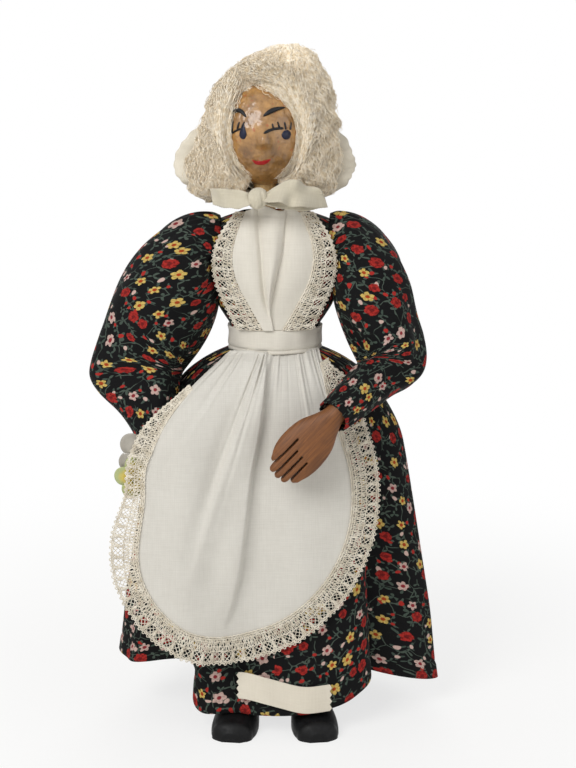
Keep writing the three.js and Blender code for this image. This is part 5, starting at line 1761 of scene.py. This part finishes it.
        step = np.linspace(0, 1, self.strand_steps)[None]
        rows = np.array(self.wig_rows)
        height = rng.uniform(-4, 64, self.strands * 2)
        chance = np.interp(height, rows[:, 0], rows[:, 2]) / rows[:, 2].max()
        height = height[rng.random(len(height)) < chance + 0.2][: self.strands, None]
        count = len(height)
        column = (count, 1)
        start = rng.uniform(0, TURN, column)
        length = rng.uniform(11, 27, column)
        lean = rng.normal(0, 0.42, column) + 0.35 * np.sin(start) + 0.3 * np.sin(2 * start + height * 0.12)
        floor = -7.5 + 4 * ramp(np.cos(start), 0.2, 0.8)
        drop = np.maximum(height - length * step * np.cos(lean), floor + 0.1 * lean)
        wide = np.interp(np.clip(drop, -6.5, 64), rows[:, 0], rows[:, 2])
        waves = length / rng.uniform(3.4, 6.5, column) * step * TURN + rng.uniform(0, TURN, column)
        swing = rng.uniform(0.35, 0.95, column)
        angle = start + (length * step * np.sin(lean) + swing * np.sin(waves)) / np.maximum(wide, 7)
        tip = rng.uniform(-0.3, 1.1, column) + 1.8 * (rng.random(column) < 0.04) * (height < 50)
        grow = mix(-1.0, tip, np.sin(step * math.pi / 2)) + 0.5 * swing * np.cos(waves)
        paths = self.hair_place(angle, drop, grow)
        under = self.within(self.throat_oval, paths[..., 0], paths[..., 2])
        clear = (under.min(1) > 0.93) | (paths[..., 1].min(1) > 2)

        # Loose strands sweep from a parting across the forehead and down along the cheeks.
        column = (self.fringe, 1)
        first = rng.uniform(-1.5, 1.5, column)
        side = np.where(first < -0.5, -1, 1)
        arc = first + side * rng.uniform(0.4, 1.5, column) * step**1.5
        waves = rng.uniform(3, 6, column) * step * TURN + first * 40
        inner = rng.uniform(0.84, 1.1, column) - 0.1 * ramp(np.cos(arc), 0.3, 1) * rng.random(column)
        size = mix(rng.uniform(1.25, 1.6, column), inner, np.sin(step * math.pi / 2))
        size = size + 0.02 * np.sin(waves)
        arc = arc + 0.03 * np.cos(waves)
        x = self.face_oval[0] + self.face_oval[2] * size * np.sin(arc)
        z = self.face_oval[1] + self.face_oval[3] * size * np.cos(arc)
        side, wide, front = (curve(rows[:, 0], rows[:, i], z - self.chin) for i in (1, 2, 3))
        across = np.clip((x - self.middle[0] - side) / wide, -0.98, 0.98)
        y = self.hair_front(x, -front * np.sqrt(1 - across**2), z)
        y = y - rng.uniform(0.9, 2.2, column) - 0.35 * np.sin(waves + 1)
        paths = np.concatenate([paths[clear], np.stack([x, y, z], -1)])
        ends = np.sin(np.linspace(0.06, 0.97, self.strand_steps) * math.pi)
        thin = self.strand_radius * np.sqrt(np.clip(ends, 0.08, 1))
        groups = np.array_split(paths[np.argsort(paths[:, 7, 0])], 4)
        for number, some in enumerate(groups, 1):
            skin = tubes(some, np.broadcast_to(thin, some.shape[:2]), 3, (0.31, 0.85, 0.42))
            self.shop.piece(f"wig_strands_{number}", skin, MOHAIR, "head", "mohair", weld=False)

    def bonnet_surface(self, u: Array, v: Array) -> Array:
        """Points of the bonnet: a frill that faces forward, and the puff behind it.

        Args:
            u: Share of the way round.
            v: Share from the frill's inner edge to the middle of the back.

        Returns:
            The points.
        """
        angle = u * TURN
        frill = np.clip(1 - v / self.bonnet_frill, 0, 1)
        turn = np.clip((v - self.bonnet_frill) / (1 - self.bonnet_frill), 0, 0.999) * math.pi / 2
        size = np.cos(turn) ** 0.8 * (1 - 0.26 * frill)
        pleats = angle * self.bonnet_pleats + 0.8 * np.sin(3 * angle)
        pleat = 1.1 * (0.5 - 0.5 * np.cos(pleats))
        pleat = pleat + 0.45 * (0.5 - 0.5 * np.cos(3 * pleats + 4 * np.sin(angle * 2)))
        pleat = pleat * size**0.6
        sine, cosine = np.sin(angle), np.cos(angle)
        square = (np.abs(sine) ** 2.5 + np.abs(cosine) ** 2.5) ** (-1 / 2.5)
        across = (self.bonnet_half_width * size - pleat) * square * cosine
        up = (np.where(sine > 0, self.bonnet_up, self.bonnet_down) * size - pleat) * square * sine
        rim = 1 - np.abs(v - self.bonnet_frill) / self.bonnet_frill
        y = self.bonnet_front + self.bonnet_puff * np.sin(turn)
        y = y + 1.6 * np.cos(pleats + 0.7) * np.clip(rim, 0, 1) * ramp(v, 0, 0.05)
        y = y - 1.5 * np.sin(math.pi * frill)
        return np.stack([self.middle[0] + across, y, self.bonnet_rise + up], -1)

    def build_bonnet(self) -> None:
        """Make the bonnet."""
        skin = surface_cloth(self.bonnet_surface, (640, 70), (200, 62), 0.4, 1, True)
        piece = self.shop.piece("bonnet_cloth", skin, BONNET_COTTON, "head", "bonnet_cotton", "bonnet_crown")

    def ribbon(self, knots: Sequence[tuple[float, ...]], rows: int) -> Skin:
        """A ribbon along a path.

        Args:
            knots: Middle, edge direction and half-width at points along it.
            rows: Points along the ribbon.

        Returns:
            Its skin.
        """
        values = even(np.array(knots, float), np.linspace(0, 1, rows))
        across = np.linspace(-1, 1, 17)[None, :, None]
        way = unit(values[:, 3:6])
        points = values[:, None, :3] + way[:, None] * values[:, None, 6:7] * across
        ripple = 0.7 * np.sin(np.linspace(0, 3.2 * TURN, rows))[:, None, None] * across
        points = points + (ripple + 0.5 * np.cos(3 * across)) * np.array([0, 1, 0])
        picots = 0.16 * np.abs(np.sin(np.arange(rows) * math.pi / 3))[:, None, None] * (np.abs(across) == 1)
        points = points + way[:, None] * picots * np.sign(across)
        return cloth(points, 0.3, flat_uv(rows, 17, 9, 40))

    def build_ribbon(self) -> None:
        """Make the ribbon's knot, its flat end and its loop."""
        x, y, z = self.knot
        turn, rise = np.meshgrid(np.linspace(0, TURN, 60, endpoint=False), np.linspace(-0.97, 0.97, 33))
        twist = turn + 0.9 * rise
        size = np.sqrt(1 - rise**2) * (1 + 0.1 * np.cos(5 * twist) + 0.05 * np.cos(11 * twist + 2))
        wide, deep, tall = 4.2 * size * np.sin(turn), -3.1 * size * np.cos(turn), 5.0 * rise
        tilt = math.radians(25)
        rings = np.stack([x + wide * math.cos(tilt) + tall * math.sin(tilt), y + deep,
                          z - wide * math.sin(tilt) + tall * math.cos(tilt)], -1)
        skin = loft(rings, flat_uv(33, 61, 22, 9))
        self.shop.piece("chin_knot_satin", skin, RIBBON_SATIN, "head", "ribbon", "chin_knot")
        flat_end = (
            (-9.5, -24.5, 252.1, 0.1, 0.2, 1, 2.2), (-12.5, -25.6, 251.9, 0.15, 0.5, 1, 3.4),
            (-16, -24.6, 251.8, 0.05, 0.1, 1, 4.1), (-20, -22.5, 252, -0.05, 0.5, 1, 4.3),
            (-24.5, -18, 251.8, -0.15, 0.2, 1, 4.2), (-28.5, -12.5, 251.9, -0.2, 0.4, 1, 3.6),
        )
        loop = (
            (-4, -25, 252.9, 0.3, 0.2, 1, 2), (-0.5, -26.2, 254.2, 0.5, 0.6, 1, 4.2),
            (4, -26.6, 255.4, 0.25, 0.9, 1, 5.9), (8.5, -25.2, 254.6, 0.35, 0.2, 1, 6.2),
            (13, -23, 253, 0.25, 0.8, 1, 5.4), (18.5, -18.6, 252, 0.1, 0.2, 1, 4.6),
            (22.8, -15, 250.8, -0.3, -0.3, 1, 4), (20, -15.6, 250, -0.1, -0.5, 1, 3.6),
            (14, -19.2, 249.4, 0.15, -0.2, 1, 3.6), (8, -22, 249.6, 0.1, -0.6, 1, 3.4),
            (2, -23.6, 250.6, 0.3, 0.1, 1, 2.8), (-3.5, -23.6, 251.4, 0.2, 0, 1, 2),
        )
        for name, knots, rows, node, flat in (
            ("chin_ribbon_flat", flat_end, 60, "chin_ribbon_right", 0.025),
            ("chin_ribbon_loop", loop, 150, "chin_ribbon_left", 0.064),
        ):
            piece = self.shop.piece(name, self.ribbon(knots, rows), RIBBON_SATIN, "head", "ribbon", node)

    def build(self) -> None:
        """Make the head and all it wears."""
        self.build_nut()
        self.build_face()
        self.build_wig()
        self.build_bonnet()
        self.build_ribbon()


# Arms


@dataclass
class Arm(Made):
    """One arm: its full sleeve and its carved hand."""

    side: str
    sign: int
    shoulder: Point
    elbow: Point
    wrist: Point
    hand_way: Point
    hand_across: Point
    elbow_radius: float
    wrist_radius: float
    taper: float
    puff: tuple[float, ...]
    folds: float
    corner: Point
    slim: float
    relax: int
    sleeve_flat: Pair
    inner_slim: float = 5.5
    thickness: float = 0.7
    armhole: float = 10.4
    cap: float = 0.12
    hand_length: float = 37.0
    hand_thickness: float = 9.0
    palm_half_width: float = 11.0
    hand_rows: tuple[tuple[float, ...], ...] = (
        (0.1, 0.6, 0.48, 2.2), (0.28, 0.88, 0.5, 2.4), (0.5, 1, 0.49, 2.5), (0.7, 0.96, 0.43, 2.5),
        (0.88, 0.84, 0.34, 2.5), (0.97, 0.74, 0.26, 2.4),
    )
    peg_radius: float = 5.2
    peg_length: float = 6.0
    kerf: float = 0.95
    file_grain: float = 0.3
    fingers: tuple[Pair, ...] = ((-0.5, 0.46), (-0.19, 0.57), (0.12, 0.58), (0.43, 0.6))
    short: tuple[float, ...] = (4.4, 0.6, 0.0, 0.5, 3.2)
    columns: int = 144

    def upper_radius(self, along: Any) -> Any:
        """Radius of the upper sleeve at a share of the upper arm."""
        return even(self.puff, (np.asarray(along) + 0.1) / 1.27)

    def lower_radius(self, along: Any) -> Any:
        """Radius of the lower sleeve.

        Args:
            along: Share of the forearm.

        Returns:
            The radius.
        """
        along = np.clip(np.asarray(along, float), 0.02, 1)
        plain = mix(0.9 * self.elbow_radius, self.wrist_radius, along**self.taper)
        return plain * (1 + 0.06 * np.sin(math.pi * along))

    def stations(self) -> tuple[Array, ...]:
        """Rings of the sleeve: out of the armhole, down to the elbow's crease, round it and on to the wrist.

        Returns:
            Middle, first and second direction, radius, and whether it is at the elbow, of each ring.
        """
        shoulder, elbow, wrist = (np.array(p, float) for p in (self.shoulder, self.elbow, self.wrist))
        upper_length, lower_length = np.linalg.norm(elbow - shoulder), np.linalg.norm(wrist - elbow)
        out, upper, lower = np.array([self.sign, 0.0, 0.0]), unit(elbow - shoulder), unit(wrist - elbow)

        def fan(start: Array, end: Array, share: Array) -> tuple[Array, Array, float]:
            """Rings that turn from one direction to another.

            Args:
                start: The first direction.
                end: The last direction.
                share: Share of the turn at each ring.

            Returns:
                Inward directions, the axis and the whole turn.
            """
            turn = math.acos(float(start @ end))
            inward = unit(end - (end @ start) * start)
            angle = (share * turn)[:, None]
            return inward * np.cos(angle) - start * np.sin(angle), np.cross(start, inward), turn

        rings: list[tuple[Array, ...]] = []

        def put(middle: Array, first: Array, axis: Array, radius: Array, bent: bool = False) -> None:
            """Add rings of one stretch."""
            first, axis = (np.broadcast_to(way, middle.shape) for way in (first, axis))
            rings.append((middle, first, axis, radius, np.full(len(middle), bent)))

        share = np.linspace(0.12, 1, 26)
        inward, axis, _ = fan(out, upper, share)
        end_radius = float(self.upper_radius(self.cap))
        pivot = shoulder + upper * self.cap * upper_length + inward[-1] * end_radius
        radius = mix(self.armhole, end_radius, share)
        put(pivot - inward * radius[:, None], inward, axis, radius)
        cap_first, cap_axis = inward[-1], axis

        share = np.linspace(0, 1, 34)
        inward, axis, turn = fan(upper, lower, share)
        near, far = upper_length, 0.0
        for _ in range(6):
            r_upper = float(self.upper_radius(near / upper_length))
            r_lower = float(self.lower_radius(far / lower_length))
            far = (r_upper - r_lower * math.cos(turn)) / math.sin(turn)
            near = upper_length + far * math.cos(turn) - r_lower * math.sin(turn)
        crease = shoulder + upper * near + inward[0] * r_upper
        spin = math.atan2(float(cap_axis @ inward[0]), float(cap_first @ inward[0]))
        along = np.linspace(self.cap * upper_length, near, 62)[1:-1]
        angle = (spin * ramp(along, along[0], along[-1]))[:, None]
        put(shoulder + upper * along[:, None], cap_first * np.cos(angle) + cap_axis * np.sin(angle),
            cap_axis * np.cos(angle) - cap_first * np.sin(angle), self.upper_radius(along / upper_length))
        radius = mix(r_upper, r_lower, ramp(share, 0, 1)) * (1 + 0.08 * np.sin(math.pi * share) ** 2)
        put(crease - inward * radius[:, None], inward, axis, radius, True)
        along = np.linspace(far, 0.99 * lower_length, 52)[1:]
        put(elbow + lower * along[:, None], inward[-1], axis, self.lower_radius(along / lower_length))
        return tuple(np.concatenate(part) for part in zip(*rings))

    def build_sleeve(self) -> None:
        """Make the sleeve from armhole to wrist."""
        middle, first, second, radius, bent = self.stations()
        theta = np.linspace(0, TURN, self.columns + 1)
        run = distance(middle - 0.4 * radius[:, None] * first)
        s, t = (run / run[-1])[:, None], theta[None, :-1]
        gathers = 0.75 * np.cos(23 * t + 2 * np.sin(3 * t)) * np.exp(-run / 9)[:, None] * ramp(s, 0, 0.02)
        long_fold = np.cos(4 * t + 5 * s + 0.6) + 0.7 * np.cos(7 * t - 4 * s)
        long_fold = self.folds * long_fold * np.sin(math.pi * s) ** 0.7
        centre = run[bent].mean()
        creases = np.sin((run[:, None] - centre) * 0.75 + 1.2 * np.cos(t)) * bell(run[:, None] - centre, 15)
        creases = 0.55 * creases * (0.35 + 0.65 * bell(np.sin(t / 2), 0.55))
        cuff = 0.25 * np.cos(16 * t) * ramp(s, 0.93, 0.99)
        hem = -0.3 * bell(run[:, None] - run[-1] + 4, 0.6)
        size = radius[:, None] + gathers + long_fold + creases + cuff + hem
        ring = first[:, None] * np.cos(t)[..., None] + second[:, None] * np.sin(t)[..., None]
        points = middle[:, None] + ring * size[..., None]
        ease = 0.5 * bell(run - centre, 24)[1:-1, None, None]
        for _ in range(self.relax):
            points[1:-1] = mix(points[1:-1], (points[:-2] + points[2:]) / 2, ease)
        out, down, spread = self.corner
        late = run[:, None] - centre - 2
        facing = self.sign * ring[..., 0]
        outer, inner = np.clip(facing, 0, 1) ** 1.5, np.clip(-facing, 0, 1)
        sag = bell(late, np.where(late > 0, 1.7 * spread, spread)) * outer
        points = points + sag[..., None] * np.array([self.sign * out, 0, -down])
        drawn = self.inner_slim * bell(run - 22, 12)[:, None] * inner
        drawn = drawn - self.slim * bell(late + 24, 20) * outer
        points[..., 0] = points[..., 0] + self.sign * drawn
        girth = np.maximum(radius, 0.62 * radius.max())[:, None] * (theta[None] - math.pi)
        uv = np.stack([girth, np.broadcast_to(run[:, None], girth.shape)], -1)
        skin = cloth(points, self.thickness, uv, True)
        piece = self.shop.make(f"{self.side}_sleeve_cloth", skin, CALICO)
        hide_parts(f"{self.side}_upper_sleeve", f"{self.side}_lower_sleeve")
        upper = unit(np.subtract(self.elbow, self.shoulder))
        way = unit(upper + unit(np.subtract(self.wrist, self.elbow)))
        self.shop.point(self.elbow - way * 13)
        self.shop.point(self.elbow + way * 13)
        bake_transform(piece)

    def build_hand(self) -> None:
        """Carve the hand and saw its fingers apart."""
        size, palm = self.hand_length, self.palm_half_width
        peg = self.peg_radius
        sections = np.array(self.hand_rows) * (size, palm, self.hand_thickness, 1)
        rows = np.array((
            (-self.peg_length, peg - 0.4, peg - 0.4, 2), (0, peg, peg, 2), *sections,
            (size, 0.64 * palm, 1.3, 2.3),
        ))
        along = np.linspace(-self.peg_length, 0.9 * size, 70)
        along = np.concatenate([along, np.linspace(0.91 * size, size, 14)])
        half, thick, square = (curve(rows[:, 0], rows[:, i], along)[:, None] for i in (1, 2, 3))
        angle = np.linspace(0, TURN, 80, endpoint=False)[None]
        c, s = np.cos(angle), np.sin(angle)
        x = half * np.sign(c) * np.abs(c) ** (2 / square)
        y = thick * np.sign(s) * np.abs(s) ** (2 / square)
        local = np.stack([x, y, np.broadcast_to(along[:, None], x.shape)], -1)
        blades = [((place * palm, start * size), (place * palm * 1.04, size * 1.2), self.kerf / 2)
                  for place, start in self.fingers]
        blades.append(((-0.98 * palm, size * 0.77), (-0.42 * palm, size * 1.2), 0.0))
        way, across = unit(np.array(self.hand_way, float)), np.array(self.hand_across, float)
        across = unit(across - (across @ way) * way)
        frame = np.stack([across, np.cross(way, across), way])
        skin = loft(local @ frame + self.wrist, flat_uv(84, 81, 60, 43))
        hand = self.shop.make(f"{self.side}_hand_wood", skin, HAND_WOOD)
        cutters = [self.blade(frame, *blade) for blade in blades]
        for cutter in cutters:
            saw = hand.modifiers.new("saw", "BOOLEAN")
            saw.operation, saw.solver, saw.object = "DIFFERENCE", "EXACT", cutter
        fine = hand.modifiers.new("file", "REMESH")
        fine.mode, fine.voxel_size, fine.use_smooth_shade = "VOXEL", self.file_grain * MM, True
        rub = hand.modifiers.new("rub", "SMOOTH")
        rub.factor, rub.iterations = 0.5, 4
        graph = bpy.context.evaluated_depsgraph_get()
        carved = bpy.data.meshes.new_from_object(hand.evaluated_get(graph))
        hand.modifiers.clear()
        hand.data = carved
        for cutter in cutters:
            bpy.data.objects.remove(cutter)
        points, index = read_mesh(carved)
        place = (points / MM - self.shop.axis - self.wrist) @ frame.T
        ends = np.array((-1.0, *(p for p, _ in self.fingers), 0.9)) * palm
        digit = np.clip(np.searchsorted(ends, place[:, 0]) - 1, 0, len(self.short) - 1)
        aside = (2 * place[:, 0] - ends[digit] - ends[digit + 1]) / (ends[digit + 1] - ends[digit])
        place[:, 2] -= np.array(self.short)[digit] * ramp(place[:, 2], 0.6 * size, size)
        place[:, 2] -= 1.2 * aside**2 * ramp(place[:, 2], 0.86 * size, 0.99 * size)
        points = (place @ frame + self.wrist + self.shop.axis) * MM
        carved.vertices.foreach_set("co", points.astype(np.float32).ravel())
        set_cloth(carved, place[index][:, [0, 2]] * MM)
        self.shop.settle(hand, f"{self.side}_forearm", "hand_wood", f"{self.side}_hand")

    def blade(self, frame: Array, start: Pair, end: Pair, half: float) -> Thing:
        """A saw blade that cuts between two places on the hand.

        Args:
            frame: The hand's directions: across, through the palm and along.
            start: Side and distance from the wrist where the cut starts.
            end: Where it ends.
            half: Half the width of the cut, or 0 to take off all on the thumb's side.

        Returns:
            The blade.
        """
        way = unit(np.subtract(end, start))
        across = np.array([way[1], -way[0]])
        low, high = (-half, half) if half else (-14.0, 0.0)
        corners = [np.array(p) + across * w for p in (start, end) for w in (low, high)]
        lean = 0.2 if half else 0.0
        box = np.array([[c[0] + lean * y, y, c[1]] for c in corners for y in (-12.0, 12.0)])
        faces = np.array(((0, 1, 3, 2), (4, 6, 7, 5), (0, 4, 5, 1), (2, 3, 7, 6), (0, 2, 6, 4), (1, 5, 7, 3)))
        return self.shop.make("blade", Skin(box @ frame + self.wrist, faces, np.zeros((6, 4, 2))), HAND_WOOD)

    def build(self) -> None:
        """Make the arm."""
        self.build_sleeve()
        self.build_hand()
        self.shop.dress(f"{self.side}_upper_arm", ARM_COTTON)
        self.shop.dress(f"{self.side}_forearm", ARM_COTTON)


# Shoes, flowers and what is hidden


@dataclass
class Shoes(Made):
    """A pair of painted wooden shoes."""

    length: float = 58.0
    half_width: float = 10.0
    height: float = 18.0
    heel_to_leg: float = 15.0
    leg_side: float = 15.5
    leg_back: float = -4.0
    turn_out: float = 7.0
    rows: tuple[Point, ...] = (
        (0, 0.5, 0.62), (0.04, 0.74, 0.86), (0.14, 0.88, 1), (0.3, 0.86, 1), (0.44, 0.9, 0.86),
        (0.6, 1.03, 0.7), (0.76, 1.1, 0.58), (0.89, 1.0, 0.5), (0.97, 0.76, 0.4), (1, 0.42, 0.26),
    )

    def build(self) -> None:
        """Make both shoes."""
        table = np.array(self.rows)
        along = 0.5 - 0.5 * np.cos(np.linspace(0, math.pi, 90))
        wide, high = (curve(table[:, 0], table[:, i], along)[:, None] for i in (1, 2))
        arc = np.linspace(0, math.pi, 48)[None]
        top_x = self.half_width * wide * np.sign(np.cos(arc)) * np.abs(np.cos(arc)) ** 0.9
        top_z = self.height * high * np.sin(arc) ** 0.7
        sole = np.linspace(-0.9, 0.9, 12)[None] * self.half_width * wide
        x = np.concatenate([top_x, sole], 1)
        z = np.concatenate([top_z, np.zeros_like(sole)], 1)
        y = np.broadcast_to(self.heel_to_leg - along[:, None] * self.length, x.shape)
        for name, side in SIDES:
            turn = math.radians(side * self.turn_out)
            points = np.stack([x * math.cos(turn) - y * math.sin(turn) + side * self.leg_side,
                               x * math.sin(turn) + y * math.cos(turn) + self.leg_back, z], -1)
            skin = loft(points, flat_uv(90, 61, 60, 58))
            self.shop.piece(f"{name}_shoe_wood", skin, SHOE_PAINT, "torso", "shoe_paint", f"{name}_shoe")
            self.shop.dress(f"{name}_leg", SOFTWOOD)


@dataclass
class Posy(Made):
    """Two small artificial flowers held in the right hand."""

    white: Point = (-59.5, -35.34, 137.5)
    yellow: Point = (-62.5, -37.24, 127.0)
    white_radius: float = 12.0
    yellow_radius: float = 10.0
    thickness: float = 0.9

    def bloom(self, place: Sequence[float], radius: float, start: float) -> Skin:
        """A flower of five cupped petals that faces forward.

        Args:
            place: Its middle.
            radius: Its reach.
            start: Angle of its first petal.

        Returns:
            Its skin.
        """
        angle, out = np.meshgrid(np.linspace(0, TURN, 160, endpoint=False), np.linspace(0.06, 1, 26))
        petal = np.sqrt(np.abs(np.cos(2.5 * (angle + start))))
        reach = radius * (0.58 + 0.42 * petal) * out
        y = 0.9 - 2.4 * np.sin(out * math.pi * 0.75) * (0.5 + 0.5 * petal)
        y = y + 0.5 * np.cos(5 * (angle + start)) * out**2
        points = np.stack([reach * np.cos(angle), y, reach * np.sin(angle)], -1) + place
        return cloth(points, self.thickness, flat_uv(26, 161, 60, 10), True)

    def build(self) -> None:
        """Make the flowers."""
        for name, place, radius, start, finish in (
            ("white", self.white, self.white_radius, 0.1, PETAL_WHITE_SHADED),
            ("yellow", self.yellow, self.yellow_radius, 0.77, YELLOW_PETAL),
        ):
            piece = self.shop.make(f"flower_petals_{name}", self.bloom(place, radius, start), finish)
            self.shop.settle(piece, "right_forearm", f"petal_{name}", f"flower_{name}")
        self.shop.dress("flower_stem", STEM_WRAP)


# Studio


@dataclass
class Studio(Made):
    """A pale floor, soft lamps and the camera."""

    camera_place: Point = (6.197, -682.059, 319.252)
    look_down: float = 13.0
    lens: float = 69.09
    sky: float = 0.4
    floor_reach: float = 2000.0
    lamps: tuple[tuple[str, Point, float, float], ...] = (
        ("key", (-0.55, -0.75, 0.85), 0.6, 8.5), ("fill", (0.8, -0.6, 0.45), 0.8, 1.8),
        ("back", (0.1, 0.8, 0.8), 0.8, 3.0),
    )
    lamp_target: Point = (0, 0, 0.17)

    def build(self) -> None:
        """Set up floor, light and camera."""
        scene = bpy.context.scene
        scene.view_settings.view_transform = "Standard"
        world = bpy.data.worlds.new("studio")
        scene.world = world
        world.use_nodes = True
        world.node_tree.nodes.clear()
        new = partial(add, world.node_tree)
        strength = new(Node.RANGE, white_for_eye(new), 0.0, 1.0, self.sky, 1.0)
        new(Node.WORLD_OUTPUT, new(Node.WORLD, "#ffffff", strength))

        reach = self.floor_reach
        corners = np.array([[-reach, -reach, 0], [reach, -reach, 0], [reach, reach, 0], [-reach, reach, 0]])
        skin = Skin(corners - self.shop.axis * (1, 1, 0), np.array([[0, 1, 2, 3]]), np.zeros((1, 4, 2)))
        floor = self.shop.make("floor", skin, FLOOR_PAPER, False)
        floor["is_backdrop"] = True

        for name, place, size, power in self.lamps:
            lamp = bpy.data.lights.new(name, "AREA")
            lamp.size, lamp.energy = size, power
            light = bpy.data.objects.new(name, lamp)
            light.location = place
            way = Vector(self.lamp_target) - Vector(place)
            light.rotation_euler = way.to_track_quat("-Z", "Y").to_euler()
            scene.collection.objects.link(light)

        camera = bpy.data.objects.new("camera", bpy.data.cameras.new("camera"))
        camera.data.lens, camera.data.clip_start = self.lens, 0.01
        camera.location = self.shop.point(self.camera_place)
        camera.rotation_euler = (math.radians(90 - self.look_down), 0, 0)
        scene.collection.objects.link(camera)
        scene.camera = camera


def main() -> None:
    """Build the doll in its studio."""
    logging.basicConfig(level=logging.INFO, format="%(name)s %(message)s")
    shop = Workshop()
    skirt, bodice = Skirt(shop), Bodice(shop)
    left = Arm(
        shop, "left", 1, shoulder=(34, 0, 234), elbow=(58, -14, 178), wrist=(26, -45.05, 157),
        hand_way=(-0.68, -0.1, -0.73), hand_across=(0.7, -0.12, -0.69), elbow_radius=11.5, wrist_radius=7.8,
        taper=1.0, puff=(8.5, 14.5, 18, 19.3, 20, 19.5, 17.5, 12.5), folds=1.0, corner=(0.5, 1.5, 11),
        slim=7.5, relax=90, sleeve_flat=(120, 122),
    )
    right = Arm(
        shop, "right", -1, shoulder=(-34, 0, 234), elbow=(-61, -5, 181), wrist=(-54, -28.24, 141),
        hand_way=(0.1, -0.06, -1), hand_across=(-1, 0.12, -0.1), elbow_radius=16.0, wrist_radius=8.0,
        taper=2.2, puff=(8.5, 15.5, 20.5, 23, 24, 24, 21.5, 16), folds=0.6, corner=(9, 8.5, 12),
        slim=0.0, relax=600, sleeve_flat=(140, 122),
    )
    apron, tag = Apron(shop, skirt, bodice), HemTag(shop, skirt)
    for made in (Studio(shop), skirt, bodice, apron, tag, Head(shop), left, right, Shoes(shop), Posy(shop)):
        made.build()
    for node, finish in (("torso_block", SOFTWOOD), ("neck_peg", SOFTWOOD), ("shoulder_wire", WIRE)):
        shop.dress(node, finish)


if __name__ == "__main__":
    main()
